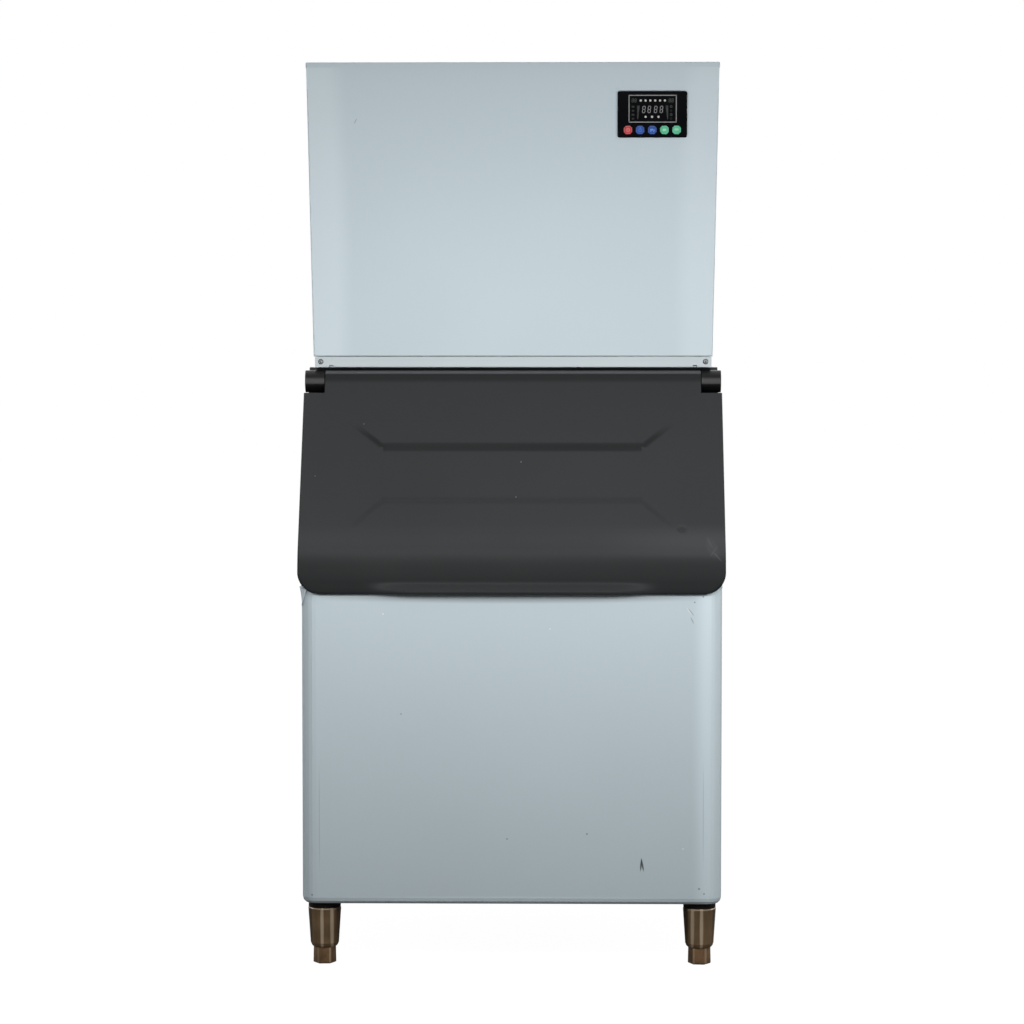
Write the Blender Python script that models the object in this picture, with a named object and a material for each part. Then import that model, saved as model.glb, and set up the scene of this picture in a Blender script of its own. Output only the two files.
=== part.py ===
"""Flake ice machine: an ice-making head that stands on an insulated storage bin with a sloping lid.

Metres, +Z up. The front faces -Y, and the origin is on the ground under the middle of the machine.
"""
import math

import bmesh
import bpy
from mathutils import Matrix, Vector

# Clearances and sheet
GAP = 0.0003
SHEET = 0.0012
WELD = 0.00001

# Bin body
BIN_WIDTH = 0.760
BIN_DEPTH = 0.790
BIN_HEIGHT = 0.9718
BIN_FOOT_Z = 0.1137
DECK_Z = BIN_FOOT_Z + BIN_HEIGHT
BIN_CORNER = 0.027
BIN_FOOT_ROUND = 0.012
INSULATION = 0.055
LINER_WALL = 0.003
LINER_ROUND = 0.030
SIDE_WALL = 0.060
CEILING_DROP = 0.073
BASE_INSULATION = 0.073
LIP_REACH = 0.030
FITTING_REACH = 0.010
TOTAL_DEPTH = LIP_REACH + BIN_DEPTH + FITTING_REACH
FRONT_Y = LIP_REACH - TOTAL_DEPTH / 2
REAR_Y = FRONT_Y + BIN_DEPTH

# Legs
LEG_SIDE_INSET = 0.0385
LEG_SPACING = BIN_WIDTH - 2 * LEG_SIDE_INSET
LEG_INSET = 0.045
LEG_NECK_RADIUS = 0.024
LEG_NECK_HEIGHT = 0.0105
LEG_TOP_RADIUS = 0.030
LEG_FOOT_RADIUS = 0.0258
FOOT_HEIGHT = 0.0295
FOOT_ACROSS_CORNERS = 0.0425
FOOT_STEM_RADIUS = 0.008
FOOT_TRAVEL = 0.025
STEM_GRIP = 0.042

# Lid and its hinge
LID_OVERHANG = 0.005
LID_WIDTH = BIN_WIDTH + 2 * LID_OVERHANG
LID_SLOPE = math.radians(27.7)
HINGE_SETBACK = 0.172
HINGE_DROP = 0.0265
HINGE_Z = DECK_Z - HINGE_DROP
KNUCKLE_RADIUS = 0.0205
MOUTH_FACE = -(KNUCKLE_RADIUS + GAP)
LID_APRON = 0.00966
face_drop = (HINGE_SETBACK - MOUTH_FACE * math.cos(LID_SLOPE)) / math.tan(LID_SLOPE)
LID_DROP = face_drop - MOUTH_FACE * math.sin(LID_SLOPE) + LID_APRON
LID_TOP_RADIUS = 0.020
LID_WALL = 0.005
LID_RIM = 0.014
POCKET_TOP = 0.026
LID_CORNER = 0.040
LID_FOOT_Z = HINGE_Z - LID_DROP
LID_SLOPE_LENGTH = LID_DROP / math.cos(LID_SLOPE)
POCKET_STOP = 0.0395
POCKET_FOOT = LID_SLOPE_LENGTH - POCKET_STOP
POCKET_DEPTH = 0.060
KNUCKLE_LENGTH = 0.036
KNUCKLE_INSET = 0.00125
KNUCKLE_SPAN = LID_WIDTH - 2 * KNUCKLE_INSET
KNUCKLE_NOTCH_GAP = 0.0015
PIN_RADIUS = 0.004
PIN_REACH = 0.022
LIP_END = 0.120
LIP_LENGTH = LID_WIDTH - 2 * LIP_END
LIP_RUNOUT = 0.087
LIP_FLAT = LIP_LENGTH - 2 * LIP_RUNOUT
PAD_HEIGHT = 0.0035
MOUTH_WIDTH = BIN_WIDTH - 2 * SIDE_WALL
MOUTH_TOP = 0.036
MOUTH_STOP = 0.0865
MOUTH_FOOT = LID_SLOPE_LENGTH - MOUTH_STOP
FRAME_THICKNESS = 0.009
FRAME_TOP = 0.040
FRAME_STOP = 0.0365
FRAME_FOOT = LID_SLOPE_LENGTH - FRAME_STOP
FRAME_INSET = 0.0005
GASKET_WIDTH = 0.012

# Head casing
STRIP_HEIGHT = 0.0192
HEAD_FOOT_Z = DECK_Z + STRIP_HEIGHT
HEAD_HEIGHT = 0.5265
HEAD_TOP_Z = HEAD_FOOT_Z + HEAD_HEIGHT
COVER_HEIGHT = 0.0098
HEAD_SIDE_STEP = 0.01215
HEAD_FOOT_WIDTH = BIN_WIDTH - 2 * HEAD_SIDE_STEP
HEAD_SPREAD = 0.0094
STRIP_LEAD = 0.004
STRIP_SETBACK = HINGE_SETBACK - STRIP_LEAD
PANEL_LEAD = 0.013
PANEL_FOOT_SETBACK = STRIP_SETBACK - PANEL_LEAD
PANEL_LEAN = 0.037
STRIP_SIDE_STEP = 0.00135
STRIP_WIDTH = HEAD_FOOT_WIDTH - 2 * STRIP_SIDE_STEP
HEAD_REAR_INSET = 0.010
PANEL_RETURN = 0.018
SIDE_FLANGE = 0.014
SCREW_EDGE = 0.0108
SCREW_SPACING = STRIP_WIDTH - 2 * SCREW_EDGE
SCREW_RADIUS = 0.00425

# Control panel
CONTROL_EDGE = 0.11285
CONTROL_X = HEAD_FOOT_WIDTH / 2 - CONTROL_EDGE
CONTROL_DROP = 0.0853
CONTROL_Z = HEAD_TOP_Z - CONTROL_DROP
CONTROL_WIDTH = 0.127
CONTROL_HEIGHT = 0.084
CONTROL_PROUD = 0.004
CONTROL_CORNER = 0.004
CONTROL_BOSS_DEPTH = 0.009
CONTROL_OVERLAP = 0.007
WINDOW_WIDTH = 0.0876
WINDOW_HEIGHT = 0.0505
WINDOW_RAISE = 0.0097
WINDOW_THICKNESS = 0.002
BUTTON_PITCH = 0.0222
BUTTON_WIDTH = 0.0156
BUTTON_DROP = 0.028
BUTTON_CUT = 0.004
BUTTON_PROUD = 0.0015
BUTTON_TRAVEL = 0.001
BUTTON_DEPTH = 0.006
BUTTON_GAP = 0.0004

# Ice making
LEFT_WALL_X = -HEAD_FOOT_WIDTH / 2
RIGHT_WALL_X = HEAD_FOOT_WIDTH / 2
PANEL_Y = FRONT_Y + PANEL_FOOT_SETBACK
DROP_X = -0.100
DROP_SETBACK = 0.210
DROP_Y = PANEL_Y + DROP_SETBACK
CHUTE_WIDTH = 0.150
CHUTE_WALL = 0.003
CHUTE_REACH = 0.012
CHUTE_CLEARANCE = 0.003
CHUTE_COLLAR = 0.008
SPOUT_REACH = 0.220
EVAPORATOR_X = DROP_X + SPOUT_REACH
BARREL_RADIUS = 0.055
BARREL_BORE = 0.042
BARREL_HEIGHT = 0.235
AUGER_RADIUS = 0.0405
AUGER_SHAFT_RADIUS = 0.015
AUGER_PITCH = 0.038
AUGER_FLIGHT = 0.006
GEAR_MODULE = 0.0053
GEAR_TEETH = 30
PINION_TEETH = 15
GEAR_WIDTH = 0.014
GEAR_BACKLASH = 0.0005
GEARBOX_LIFT = 0.030
GEARBOX_WALL = 0.005
MOTOR_RADIUS = 0.050
MOTOR_HEIGHT = 0.120

# Refrigeration
COMPRESSOR_SIDE = 0.118
COMPRESSOR_X = LEFT_WALL_X + COMPRESSOR_SIDE
COMPRESSOR_RADIUS = 0.088
COMPRESSOR_HEIGHT = 0.205
FAN_SIDE = 0.22785
FAN_X = RIGHT_WALL_X - FAN_SIDE
FAN_RISE = 0.2753
FAN_Z = HEAD_FOOT_Z + FAN_RISE
FAN_RADIUS = 0.105
FAN_TIP_GAP = 0.006
FAN_DEPTH = 0.022
CONDENSER_SIZE = 0.270
CONDENSER_DEPTH = 0.040
LINE_RADIUS = 0.005

# Water
RESERVOIR_SIDE = 0.07785
RESERVOIR_X = LEFT_WALL_X + RESERVOIR_SIDE
RESERVOIR_SETBACK = 0.120
RESERVOIR_Y = PANEL_Y + RESERVOIR_SETBACK
RESERVOIR_LENGTH = 0.140
RESERVOIR_WIDTH = 0.090
RESERVOIR_DEPTH = 0.080
RESERVOIR_WALL = 0.003
WATER_RISE = 0.3103
WATER_LEVEL_Z = HEAD_FOOT_Z + WATER_RISE
PORT_SIDE = 0.08785
PORT_RISE = 0.240
PORT_SPACING = 0.080
WATER_PORT = (LEFT_WALL_X + PORT_SIDE, HEAD_FOOT_Z + PORT_RISE)
GLAND_PORT = (WATER_PORT[0] + PORT_SPACING, WATER_PORT[1])

SIDES = (("left", -1), ("right", 1))
ENDS = (("front", FRONT_Y + LEG_INSET), ("rear", REAR_Y - LEG_INSET))

FINISHES = {
    "casing_steel": ((0.52, 0.58, 0.61), 0.32, 0.85),
    "galvanised": ((0.55, 0.57, 0.58), 0.45, 0.85),
    "dark_plastic": ((0.052, 0.056, 0.059), 0.42, 0.0),
    "black_plastic": ((0.012, 0.012, 0.013), 0.35, 0.0),
    "white_plastic": ((0.80, 0.82, 0.80), 0.40, 0.0),
    "foam": ((0.78, 0.68, 0.45), 0.9, 0.0),
    "rubber": ((0.03, 0.03, 0.03), 0.7, 0.0),
    "leg_metal": ((0.10, 0.070, 0.045), 0.35, 0.9),
    "stainless": ((0.60, 0.61, 0.62), 0.28, 1.0),
    "cast_metal": ((0.35, 0.36, 0.37), 0.5, 0.9),
    "gear_steel": ((0.30, 0.29, 0.28), 0.35, 1.0),
    "copper": ((0.72, 0.36, 0.20), 0.30, 1.0),
    "brass": ((0.70, 0.50, 0.22), 0.35, 1.0),
    "black_paint": ((0.015, 0.015, 0.017), 0.40, 0.1),
    "aluminium": ((0.70, 0.71, 0.72), 0.35, 1.0),
    "display": ((0.006, 0.007, 0.009), 0.08, 0.0),
    "red_button": ((0.58, 0.045, 0.055), 0.35, 0.0),
    "blue_button": ((0.03, 0.10, 0.46), 0.35, 0.0),
    "green_button": ((0.13, 0.68, 0.36), 0.35, 0.0),
}


def clear_scene():
    for item in list(bpy.data.objects):
        bpy.data.objects.remove(item, do_unlink=True)


def new_collection(name):
    collection = bpy.data.collections.new(name)
    bpy.context.scene.collection.children.link(collection)
    return collection


clear_scene()
PARTS = new_collection("flake_ice_machine")
CUTTERS = new_collection("cutters")


def paint(part, finish):
    """Give a part its own material, from the named finish."""
    colour, roughness, metallic = FINISHES[finish]
    material = bpy.data.materials.new(part.name + "_" + finish)
    material.use_nodes = True
    shader = material.node_tree.nodes["Principled BSDF"]
    shader.inputs["Base Color"].default_value = (*colour, 1.0)
    shader.inputs["Roughness"].default_value = roughness
    shader.inputs["Metallic"].default_value = metallic
    part.data.materials.clear()
    part.data.materials.append(material)


def to_mesh(bm, name):
    bmesh.ops.remove_doubles(bm, verts=bm.verts, dist=WELD)
    bmesh.ops.recalc_face_normals(bm, faces=bm.faces)
    mesh = bpy.data.meshes.new(name)
    bm.to_mesh(mesh)
    bm.free()
    return mesh


def add_part(name, bm, finish, smooth=True):
    """A sub-part from a bmesh that is already in place."""
    part = bpy.data.objects.new(name, to_mesh(bm, name))
    PARTS.objects.link(part)
    paint(part, finish)
    if smooth:
        part.data.shade_smooth()
        part.data.set_sharp_from_angle(angle=math.radians(35))
    return part


def add_tool(name, bm):
    """A closed shape that only cuts or joins another one."""
    tool = bpy.data.objects.new(name, to_mesh(bm, name))
    CUTTERS.objects.link(tool)
    tool.hide_render = True
    tool.display_type = 'WIRE'
    return tool


def combine(part, operation, tool):
    step = part.modifiers.new(operation.lower() + "_" + tool.name, 'BOOLEAN')
    step.operation = operation
    step.solver = 'EXACT'
    step.object = tool


def cut(part, name, bm):
    combine(part, 'DIFFERENCE', add_tool(name, bm))


def join(part, name, bm):
    combine(part, 'UNION', add_tool(name, bm))


def keep(part, name, bm):
    combine(part, 'INTERSECT', add_tool(name, bm))


def block(low, high):
    bm = bmesh.new()
    bmesh.ops.create_cube(bm, size=1.0)
    size = Vector(high) - Vector(low)
    bmesh.ops.scale(bm, vec=size, verts=bm.verts)
    bmesh.ops.translate(bm, vec=(Vector(high) + Vector(low)) / 2, verts=bm.verts)
    return bm


def rod(start, end, radius, steps=24, end_radius=None):
    """A cylinder or a cone between two points."""
    start = Vector(start)
    end = Vector(end)
    bm = bmesh.new()
    bmesh.ops.create_cone(bm, cap_ends=True, segments=steps, radius1=radius,
                          radius2=radius if end_radius is None else end_radius, depth=(end - start).length)
    turn = Vector((0, 0, 1)).rotation_difference(end - start).to_matrix().to_4x4()
    bmesh.ops.transform(bm, matrix=Matrix.Translation((start + end) / 2) @ turn, verts=bm.verts)
    return bm


def merged(*shapes):
    """Several closed shapes that stay apart, in one cutter."""
    whole = bmesh.new()
    for shape in shapes:
        mesh = to_mesh(shape, "piece")
        whole.from_mesh(mesh)
        bpy.data.meshes.remove(mesh)
    return whole


def filleted(corners, steps=4):
    """Points of an outline whose corners (a, b, radius) are rounded by arcs."""
    points = []
    for index, (a, b, radius) in enumerate(corners):
        here = Vector((a, b))
        if radius <= 0:
            points.append(here)
            continue
        before = (Vector(corners[index - 1][:2]) - here).normalized()
        after = (Vector(corners[(index + 1) % len(corners)][:2]) - here).normalized()
        half = before.angle(after) / 2
        centre = here + (before + after).normalized() * (radius / math.sin(half))
        first = here + before * (radius / math.tan(half)) - centre
        last = here + after * (radius / math.tan(half)) - centre
        begin = math.atan2(first.y, first.x)
        sweep = (math.atan2(last.y, last.x) - begin + math.pi) % (2 * math.pi) - math.pi
        for step in range(steps + 1):
            angle = begin + sweep * step / steps
            points.append(centre + radius * Vector((math.cos(angle), math.sin(angle))))
    return points


def rectangle(low_a, high_a, low_b, high_b, radius=0.0, steps=3):
    corners = ((low_a, low_b), (high_a, low_b), (high_a, high_b), (low_a, high_b))
    return filleted([(a, b, radius) for a, b in corners], steps)


def square(centre_a, centre_b, half, radius, steps=2):
    return rectangle(centre_a - half, centre_a + half, centre_b - half, centre_b + half, radius, steps)


def circle(centre_a, centre_b, radius, steps=32):
    angles = [2 * math.pi * step / steps for step in range(steps)]
    return [Vector((centre_a + radius * math.cos(t), centre_b + radius * math.sin(t))) for t in angles]


def slot(centre_a, centre_b, length, width, steps=4):
    """A slot with round ends, long along the first axis."""
    return rectangle(centre_a - length / 2, centre_a + length / 2, centre_b - width / 2, centre_b + width / 2,
                     width / 2 * 0.999, steps)


def widened(outline, distance):
    """The same outline with each side moved out by a distance, or in by a negative one."""
    points = [Vector(p[:2]) for p in outline]
    area = sum(p.x * points[i - 1].y - points[i - 1].x * p.y for i, p in enumerate(points))
    outward = -1 if area > 0 else 1
    result = []
    for index, here in enumerate(points):
        before = (here - points[index - 1]).normalized()
        after = (points[(index + 1) % len(points)] - here).normalized()
        side_before = Vector((before.y, -before.x)) * outward
        side_after = Vector((after.y, -after.x)) * outward
        middle = (side_before + side_after).normalized()
        result.append(here + middle * (distance / middle.dot(side_after)))
    return result


PLANES = {
    "XY": Matrix.Identity(4),
    "YZ": Matrix(((0, 0, 1, 0), (1, 0, 0, 0), (0, 1, 0, 0), (0, 0, 0, 1))),
    "XZ": Matrix(((1, 0, 0, 0), (0, 0, -1, 0), (0, 1, 0, 0), (0, 0, 0, 1))),
}


def slab(outlines, low, high, plane="XY"):
    """A flat outline with holes, filled as a 2D curve and extruded from low to high across its plane."""
    curve = bpy.data.curves.new("outline", 'CURVE')
    curve.dimensions = '2D'
    curve.fill_mode = 'BOTH'
    curve.extrude = (high - low) / 2
    for outline in outlines:
        spline = curve.splines.new('POLY')
        spline.points.add(len(outline) - 1)
        for point, place in zip(spline.points, outline):
            point.co = (place[0], place[1], 0.0, 1.0)
        spline.use_cyclic_u = True
    guide = bpy.data.objects.new("outline", curve)
    CUTTERS.objects.link(guide)
    bpy.context.view_layer.update()
    mesh = bpy.data.meshes.new_from_object(guide.evaluated_get(bpy.context.evaluated_depsgraph_get()))
    bpy.data.objects.remove(guide, do_unlink=True)
    bm = bmesh.new()
    bm.from_mesh(mesh)
    bpy.data.meshes.remove(mesh)
    bmesh.ops.remove_doubles(bm, verts=bm.verts, dist=WELD)
    turn = PLANES[plane]
    middle = (low + high) / 2
    across = turn.to_3x3() @ Vector((0, 0, middle if plane != "XZ" else -middle))
    bmesh.ops.transform(bm, matrix=Matrix.Translation(across) @ turn, verts=bm.verts)
    return bm


def turned(profile, steps=32, centre=(0, 0), axis='Z'):
    """A solid of revolution from (radius, height) points that run from top to bottom on the outer side."""
    bm = bmesh.new()
    verts = [bm.verts.new((radius, 0.0, height)) for radius, height in profile]
    edges = [bm.edges.new(pair) for pair in zip(verts, verts[1:])]
    if profile[0][0] > 0 and profile[-1][0] > 0:
        edges.append(bm.edges.new((verts[-1], verts[0])))
    bmesh.ops.spin(bm, geom=verts + edges, cent=(0, 0, 0), axis=(0, 0, 1), dvec=(0, 0, 0),
                   angle=2 * math.pi, steps=steps, use_merge=True)
    bmesh.ops.remove_doubles(bm, verts=bm.verts, dist=WELD)
    bmesh.ops.dissolve_degenerate(bm, dist=WELD, edges=bm.edges)
    if axis == 'Y':
        bmesh.ops.rotate(bm, matrix=Matrix.Rotation(math.radians(90), 3, 'X'), verts=bm.verts)
    bmesh.ops.translate(bm, vec=Vector(centre).to_3d(), verts=bm.verts)
    return bm


def empty(name, place, tilt=0.0):
    """An empty on a joint's axis or at a sub-assembly's seat."""
    holder = bpy.data.objects.new(name, None)
    holder.empty_display_size = 0.05
    holder.location = place
    holder.rotation_euler = (tilt, 0, 0)
    PARTS.objects.link(holder)
    return holder


def hang(part, holder):
    """Parent a part that was modelled in place, and leave it there."""
    part.parent = holder
    seat = Matrix.Translation(holder.location) @ holder.rotation_euler.to_matrix().to_4x4()
    part.matrix_parent_inverse = seat.inverted()


def seat_in(part, holder):
    """Parent a part and its tools, all modelled in the holder's own axes."""
    part.parent = holder
    for step in part.modifiers:
        step.object.parent = holder


def tube(name, points, radius, finish, steps=2):
    """A bent pipe: a smooth route through its points, as a curve with a round bevel and filled caps."""
    curve = bpy.data.curves.new(name, 'CURVE')
    curve.dimensions = '3D'
    curve.bevel_depth = radius
    curve.bevel_resolution = steps
    curve.use_fill_caps = True
    spline = curve.splines.new('POLY')
    spline.points.add(len(points) - 1)
    for point, place in zip(spline.points, points):
        point.co = (*place, 1.0)
    pipe = bpy.data.objects.new(name, curve)
    PARTS.objects.link(pipe)
    paint(pipe, finish)
    return pipe


def bent(points, radius, steps=2):
    """A route along straight runs with an arc of the given radius at each inner point."""
    route = [Vector(points[0])]
    for before, here, after in zip(points, points[1:], points[2:]):
        here = Vector(here)
        back = (Vector(before) - here).normalized()
        on = (Vector(after) - here).normalized()
        half = back.angle(on) / 2
        reach = radius / math.tan(half)
        centre = here + (back + on).normalized() * (radius / math.sin(half))
        first = here + back * reach - centre
        last = here + on * reach - centre
        for step in range(steps + 1):
            route.append(centre + first.normalized().slerp(last.normalized(), step / steps) * radius)
    route.append(Vector(points[-1]))
    return route


# Bin: outer casing, foam, liner and deck


def bin_block(inset, rear, top):
    """The bin's rounded outer form, moved in by an inset on its front, sides and underside."""
    half = BIN_WIDTH / 2 - inset
    front = FRONT_Y + inset
    foot = BIN_FOOT_Z + inset
    bm = block((-half, front, foot), (half, rear, top))
    upright = [e for e in bm.edges if all(abs(v.co.y - front) < WELD for v in e.verts)
               and abs(e.verts[0].co.x - e.verts[1].co.x) < WELD]
    bmesh.ops.bevel(bm, geom=upright, offset=BIN_CORNER - inset, segments=6, profile=0.5, affect='EDGES',
                    material=-1)
    low = [e for e in bm.edges if all(abs(v.co.z - foot) < WELD for v in e.verts)
           and not all(abs(v.co.y - rear) < WELD for v in e.verts)]
    bmesh.ops.bevel(bm, geom=low, offset=BIN_FOOT_ROUND - inset, segments=3, profile=0.5, affect='EDGES',
                    material=-1)
    return bm


HINGE_Y = FRONT_Y + HINGE_SETBACK
SLOPE_TILT = math.radians(90) - LID_SLOPE
SLOPE_FRAME = Matrix.Translation((0, HINGE_Y, HINGE_Z)) @ Matrix.Rotation(SLOPE_TILT, 4, 'X')
FRAME_BACK = MOUTH_FACE - FRAME_THICKNESS


def on_slope(x, up, out):
    """A world point from the sloping frame: up along the slope from the hinge axis, out across it."""
    return SLOPE_FRAME @ Vector((x, up, out))


def slope_height(y, out):
    """Height at which a plane parallel to the slope crosses a given y."""
    start = on_slope(0, 0, out)
    return start.z + (y - start.y) / math.tan(LID_SLOPE)


def slope_depth(z, out):
    """The y at which a plane parallel to the slope crosses a given height."""
    start = on_slope(0, 0, out)
    return start.y + (z - start.z) * math.tan(LID_SLOPE)


def above_body(out, top):
    """Cutter for all that lies in front of the sloping seat of the frame, past its foot or above the deck."""
    far = 0.3
    step_out = on_slope(0, -FRAME_FOOT - GAP, MOUTH_FACE)
    step_in = on_slope(0, -FRAME_FOOT - GAP, out)
    outline = [
        (FRONT_Y - far, slope_height(FRONT_Y - far, MOUTH_FACE)),
        (step_out.y, step_out.z),
        (step_in.y, step_in.z),
        (slope_depth(top, out), top),
        (REAR_Y + far, top),
        (REAR_Y + far, top + far),
        (FRONT_Y - far, top + far),
    ]
    return slab([outline], -BIN_WIDTH, BIN_WIDTH, "YZ")


BODY_FACE = FRAME_BACK - GAP
HOLE_HALF = CHUTE_WIDTH / 2 + GAP
DROP_OUTLINE = square(DROP_X, DROP_Y, HOLE_HALF, 0.012)
DRAIN_Y = REAR_Y - 0.180
DRAIN_RADIUS = 0.016
DRAIN_WALL = 0.003


def drop_hole(low, high):
    return slab([DROP_OUTLINE], low, high)


def leg_places():
    for end, y in ENDS:
        for side, sign in SIDES:
            yield end + "_" + side, sign * LEG_SPACING / 2, y


casing = add_part("bin_casing", bin_block(0, REAR_Y, DECK_Z + 0.05), "casing_steel")
cut(casing, "casing_inside", bin_block(SHEET, REAR_Y + 0.05, DECK_Z + 0.10))
BASE_MARGIN = 0.030
cut(casing, "casing_underside", block(
    (-BIN_WIDTH / 2 + BASE_MARGIN, FRONT_Y + BASE_MARGIN, BIN_FOOT_Z - 0.01),
    (BIN_WIDTH / 2 - BASE_MARGIN, REAR_Y + 0.01, BIN_FOOT_Z + 0.01)))
cut(casing, "casing_mouth", above_body(BODY_FACE, DECK_Z - SHEET - GAP))

REAR_INNER = REAR_Y - SHEET
rear_half = BIN_WIDTH / 2 - SHEET - GAP
rear_outline = filleted([
    (-rear_half, BIN_FOOT_Z + SHEET + GAP, BIN_FOOT_ROUND - SHEET - GAP),
    (rear_half, BIN_FOOT_Z + SHEET + GAP, BIN_FOOT_ROUND - SHEET - GAP),
    (rear_half, DECK_Z - SHEET - GAP, 0),
    (-rear_half, DECK_Z - SHEET - GAP, 0),
], 3)
rear_sheet = add_part("bin_rear_sheet", slab([rear_outline], REAR_INNER, REAR_Y, "XZ"), "galvanised")
RIB_LENGTH = BIN_WIDTH - 0.240
RIB_HEIGHT = 0.018
RIB_LEVELS = (BIN_FOOT_Z + 0.286, BIN_FOOT_Z + 0.636)
for level in RIB_LEVELS:
    cut(rear_sheet, "rear_rib", slab([slot(0, level, RIB_LENGTH, RIB_HEIGHT, 2)],
                                     REAR_Y - SHEET / 2, REAR_Y + SHEET, "XZ"))

base_low = BIN_FOOT_Z + SHEET + GAP
base_outline = rectangle(-BIN_WIDTH / 2 + BIN_CORNER, BIN_WIDTH / 2 - BIN_CORNER,
                         FRONT_Y + BIN_CORNER, REAR_INNER - GAP)
add_part("bin_base_sheet", slab([base_outline, circle(0, DRAIN_Y, DRAIN_RADIUS + GAP, 24)],
                                base_low, base_low + SHEET), "galvanised")

LINER_FRONT = FRONT_Y + INSULATION
LINER_REAR = REAR_Y - INSULATION
LINER_FOOT = BIN_FOOT_Z + BASE_INSULATION
LINER_TOP = DECK_Z - CEILING_DROP
mouth_foot = on_slope(0, -MOUTH_FOOT, BODY_FACE)
mouth_top = on_slope(0, -MOUTH_TOP, BODY_FACE)
outer_foot = on_slope(0, -MOUTH_FOOT, 0.02)
outer_top = on_slope(0, -MOUTH_TOP, 0.02)
SILL_DROP = 0.045
CAVITY = filleted([
    (LINER_FRONT, LINER_FOOT, LINER_ROUND),
    (LINER_REAR, LINER_FOOT, LINER_ROUND),
    (LINER_REAR, LINER_TOP, LINER_ROUND),
    (mouth_top.y + 0.012, LINER_TOP, 0.005),
    (mouth_top.y, mouth_top.z, 0),
    (outer_top.y, outer_top.z, 0),
    (outer_foot.y, outer_foot.z, 0),
    (mouth_foot.y, mouth_foot.z, 0.004),
    (LINER_FRONT, mouth_foot.z - SILL_DROP, 0.010),
], 3)


def tub(grow):
    """The storage space as a solid, grown by the liner's wall or by nothing."""
    half = MOUTH_WIDTH / 2 + grow
    bm = slab([widened(CAVITY, grow) if grow else CAVITY], -half, half, "YZ")
    return bm


liner = add_part("bin_liner", tub(LINER_WALL), "white_plastic")
cut(liner, "liner_inside", tub(0))
cut(liner, "liner_mouth", above_body(BODY_FACE, DECK_Z))
cut(liner, "liner_drop", drop_hole(LINER_TOP - 0.01, DECK_Z))
cut(liner, "liner_drain", rod((0, DRAIN_Y, LINER_FOOT - 0.01), (0, DRAIN_Y, LINER_FOOT + 0.01),
                              DRAIN_RADIUS + GAP))

foam_low = base_low + SHEET + GAP
foam = add_part("bin_insulation", bin_block(SHEET + GAP, REAR_INNER - GAP, DECK_Z + 0.05), "foam")
cut(foam, "foam_underside", block((-1, -1, 0), (1, 1, foam_low)))
cut(foam, "foam_tub", tub(LINER_WALL + GAP))
cut(foam, "foam_mouth", above_body(BODY_FACE, DECK_Z - SHEET - GAP))
cut(foam, "foam_drop", drop_hole(LINER_TOP - 0.01, DECK_Z + 0.1))
cut(foam, "foam_drain", rod((0, DRAIN_Y, 0.05), (0, DRAIN_Y, LINER_FOOT + 0.01), DRAIN_RADIUS + GAP))

deck_front = slope_depth(DECK_Z, BODY_FACE)
deck_half = BIN_WIDTH / 2
deck = add_part("bin_deck", slab([rectangle(-deck_half, deck_half, deck_front, REAR_Y), DROP_OUTLINE],
                                 DECK_Z - SHEET, DECK_Z), "galvanised")

drain_flange = LINER_FOOT + 0.002
add_part("drain_fitting", turned([
    (DRAIN_RADIUS + 0.010, drain_flange + GAP),
    (DRAIN_RADIUS + 0.010, LINER_FOOT + GAP),
    (DRAIN_RADIUS, LINER_FOOT + GAP),
    (DRAIN_RADIUS, BIN_FOOT_Z - 0.045),
    (DRAIN_RADIUS - DRAIN_WALL, BIN_FOOT_Z - 0.045),
    (DRAIN_RADIUS - DRAIN_WALL, drain_flange + GAP),
], 16, (0, DRAIN_Y)), "white_plastic")

# Moulded frame round the mouth, on the sloping face of the body
frame_half = BIN_WIDTH / 2 - FRAME_INSET
frame_bm = slab([
    rectangle(-frame_half, frame_half, -FRAME_FOOT, FRAME_TOP),
    rectangle(-MOUTH_WIDTH / 2, MOUTH_WIDTH / 2, -MOUTH_FOOT, -MOUTH_TOP, 0.030, 5),
], FRAME_BACK, MOUTH_FACE)
bmesh.ops.transform(frame_bm, matrix=SLOPE_FRAME, verts=frame_bm.verts)
door_frame = add_part("door_frame", frame_bm, "black_plastic")
frame_plan = filleted([
    (-frame_half, FRONT_Y + FRAME_INSET, BIN_CORNER),
    (frame_half, FRONT_Y + FRAME_INSET, BIN_CORNER),
    (frame_half, REAR_Y, 0),
    (-frame_half, REAR_Y, 0),
])
keep(door_frame, "frame_plan", slab([frame_plan], BIN_FOOT_Z, HEAD_FOOT_Z))

# Levelling legs: a turned cup under the base and a hexagonal foot that screws into it
CUP_FOOT_Z = FOOT_HEIGHT + 0.0005
LEG_TOP_Z = BIN_FOOT_Z - GAP
STEM_TOP_Z = CUP_FOOT_Z + FOOT_TRAVEL + STEM_GRIP
cup_profile = [
    (0, LEG_TOP_Z),
    (LEG_NECK_RADIUS, LEG_TOP_Z),
    (LEG_NECK_RADIUS, BIN_FOOT_Z - LEG_NECK_HEIGHT + 0.001),
    (LEG_TOP_RADIUS - 0.001, BIN_FOOT_Z - LEG_NECK_HEIGHT),
    (LEG_TOP_RADIUS, BIN_FOOT_Z - LEG_NECK_HEIGHT - 0.0015),
    (LEG_FOOT_RADIUS, CUP_FOOT_Z + 0.008),
    (LEG_FOOT_RADIUS - 0.0020, CUP_FOOT_Z + 0.003),
    (FOOT_ACROSS_CORNERS / 2 - 0.0005, CUP_FOOT_Z),
    (FOOT_STEM_RADIUS + GAP, CUP_FOOT_Z),
    (FOOT_STEM_RADIUS + GAP, STEM_TOP_Z + 0.003),
    (0, STEM_TOP_Z + 0.003),
]
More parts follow.
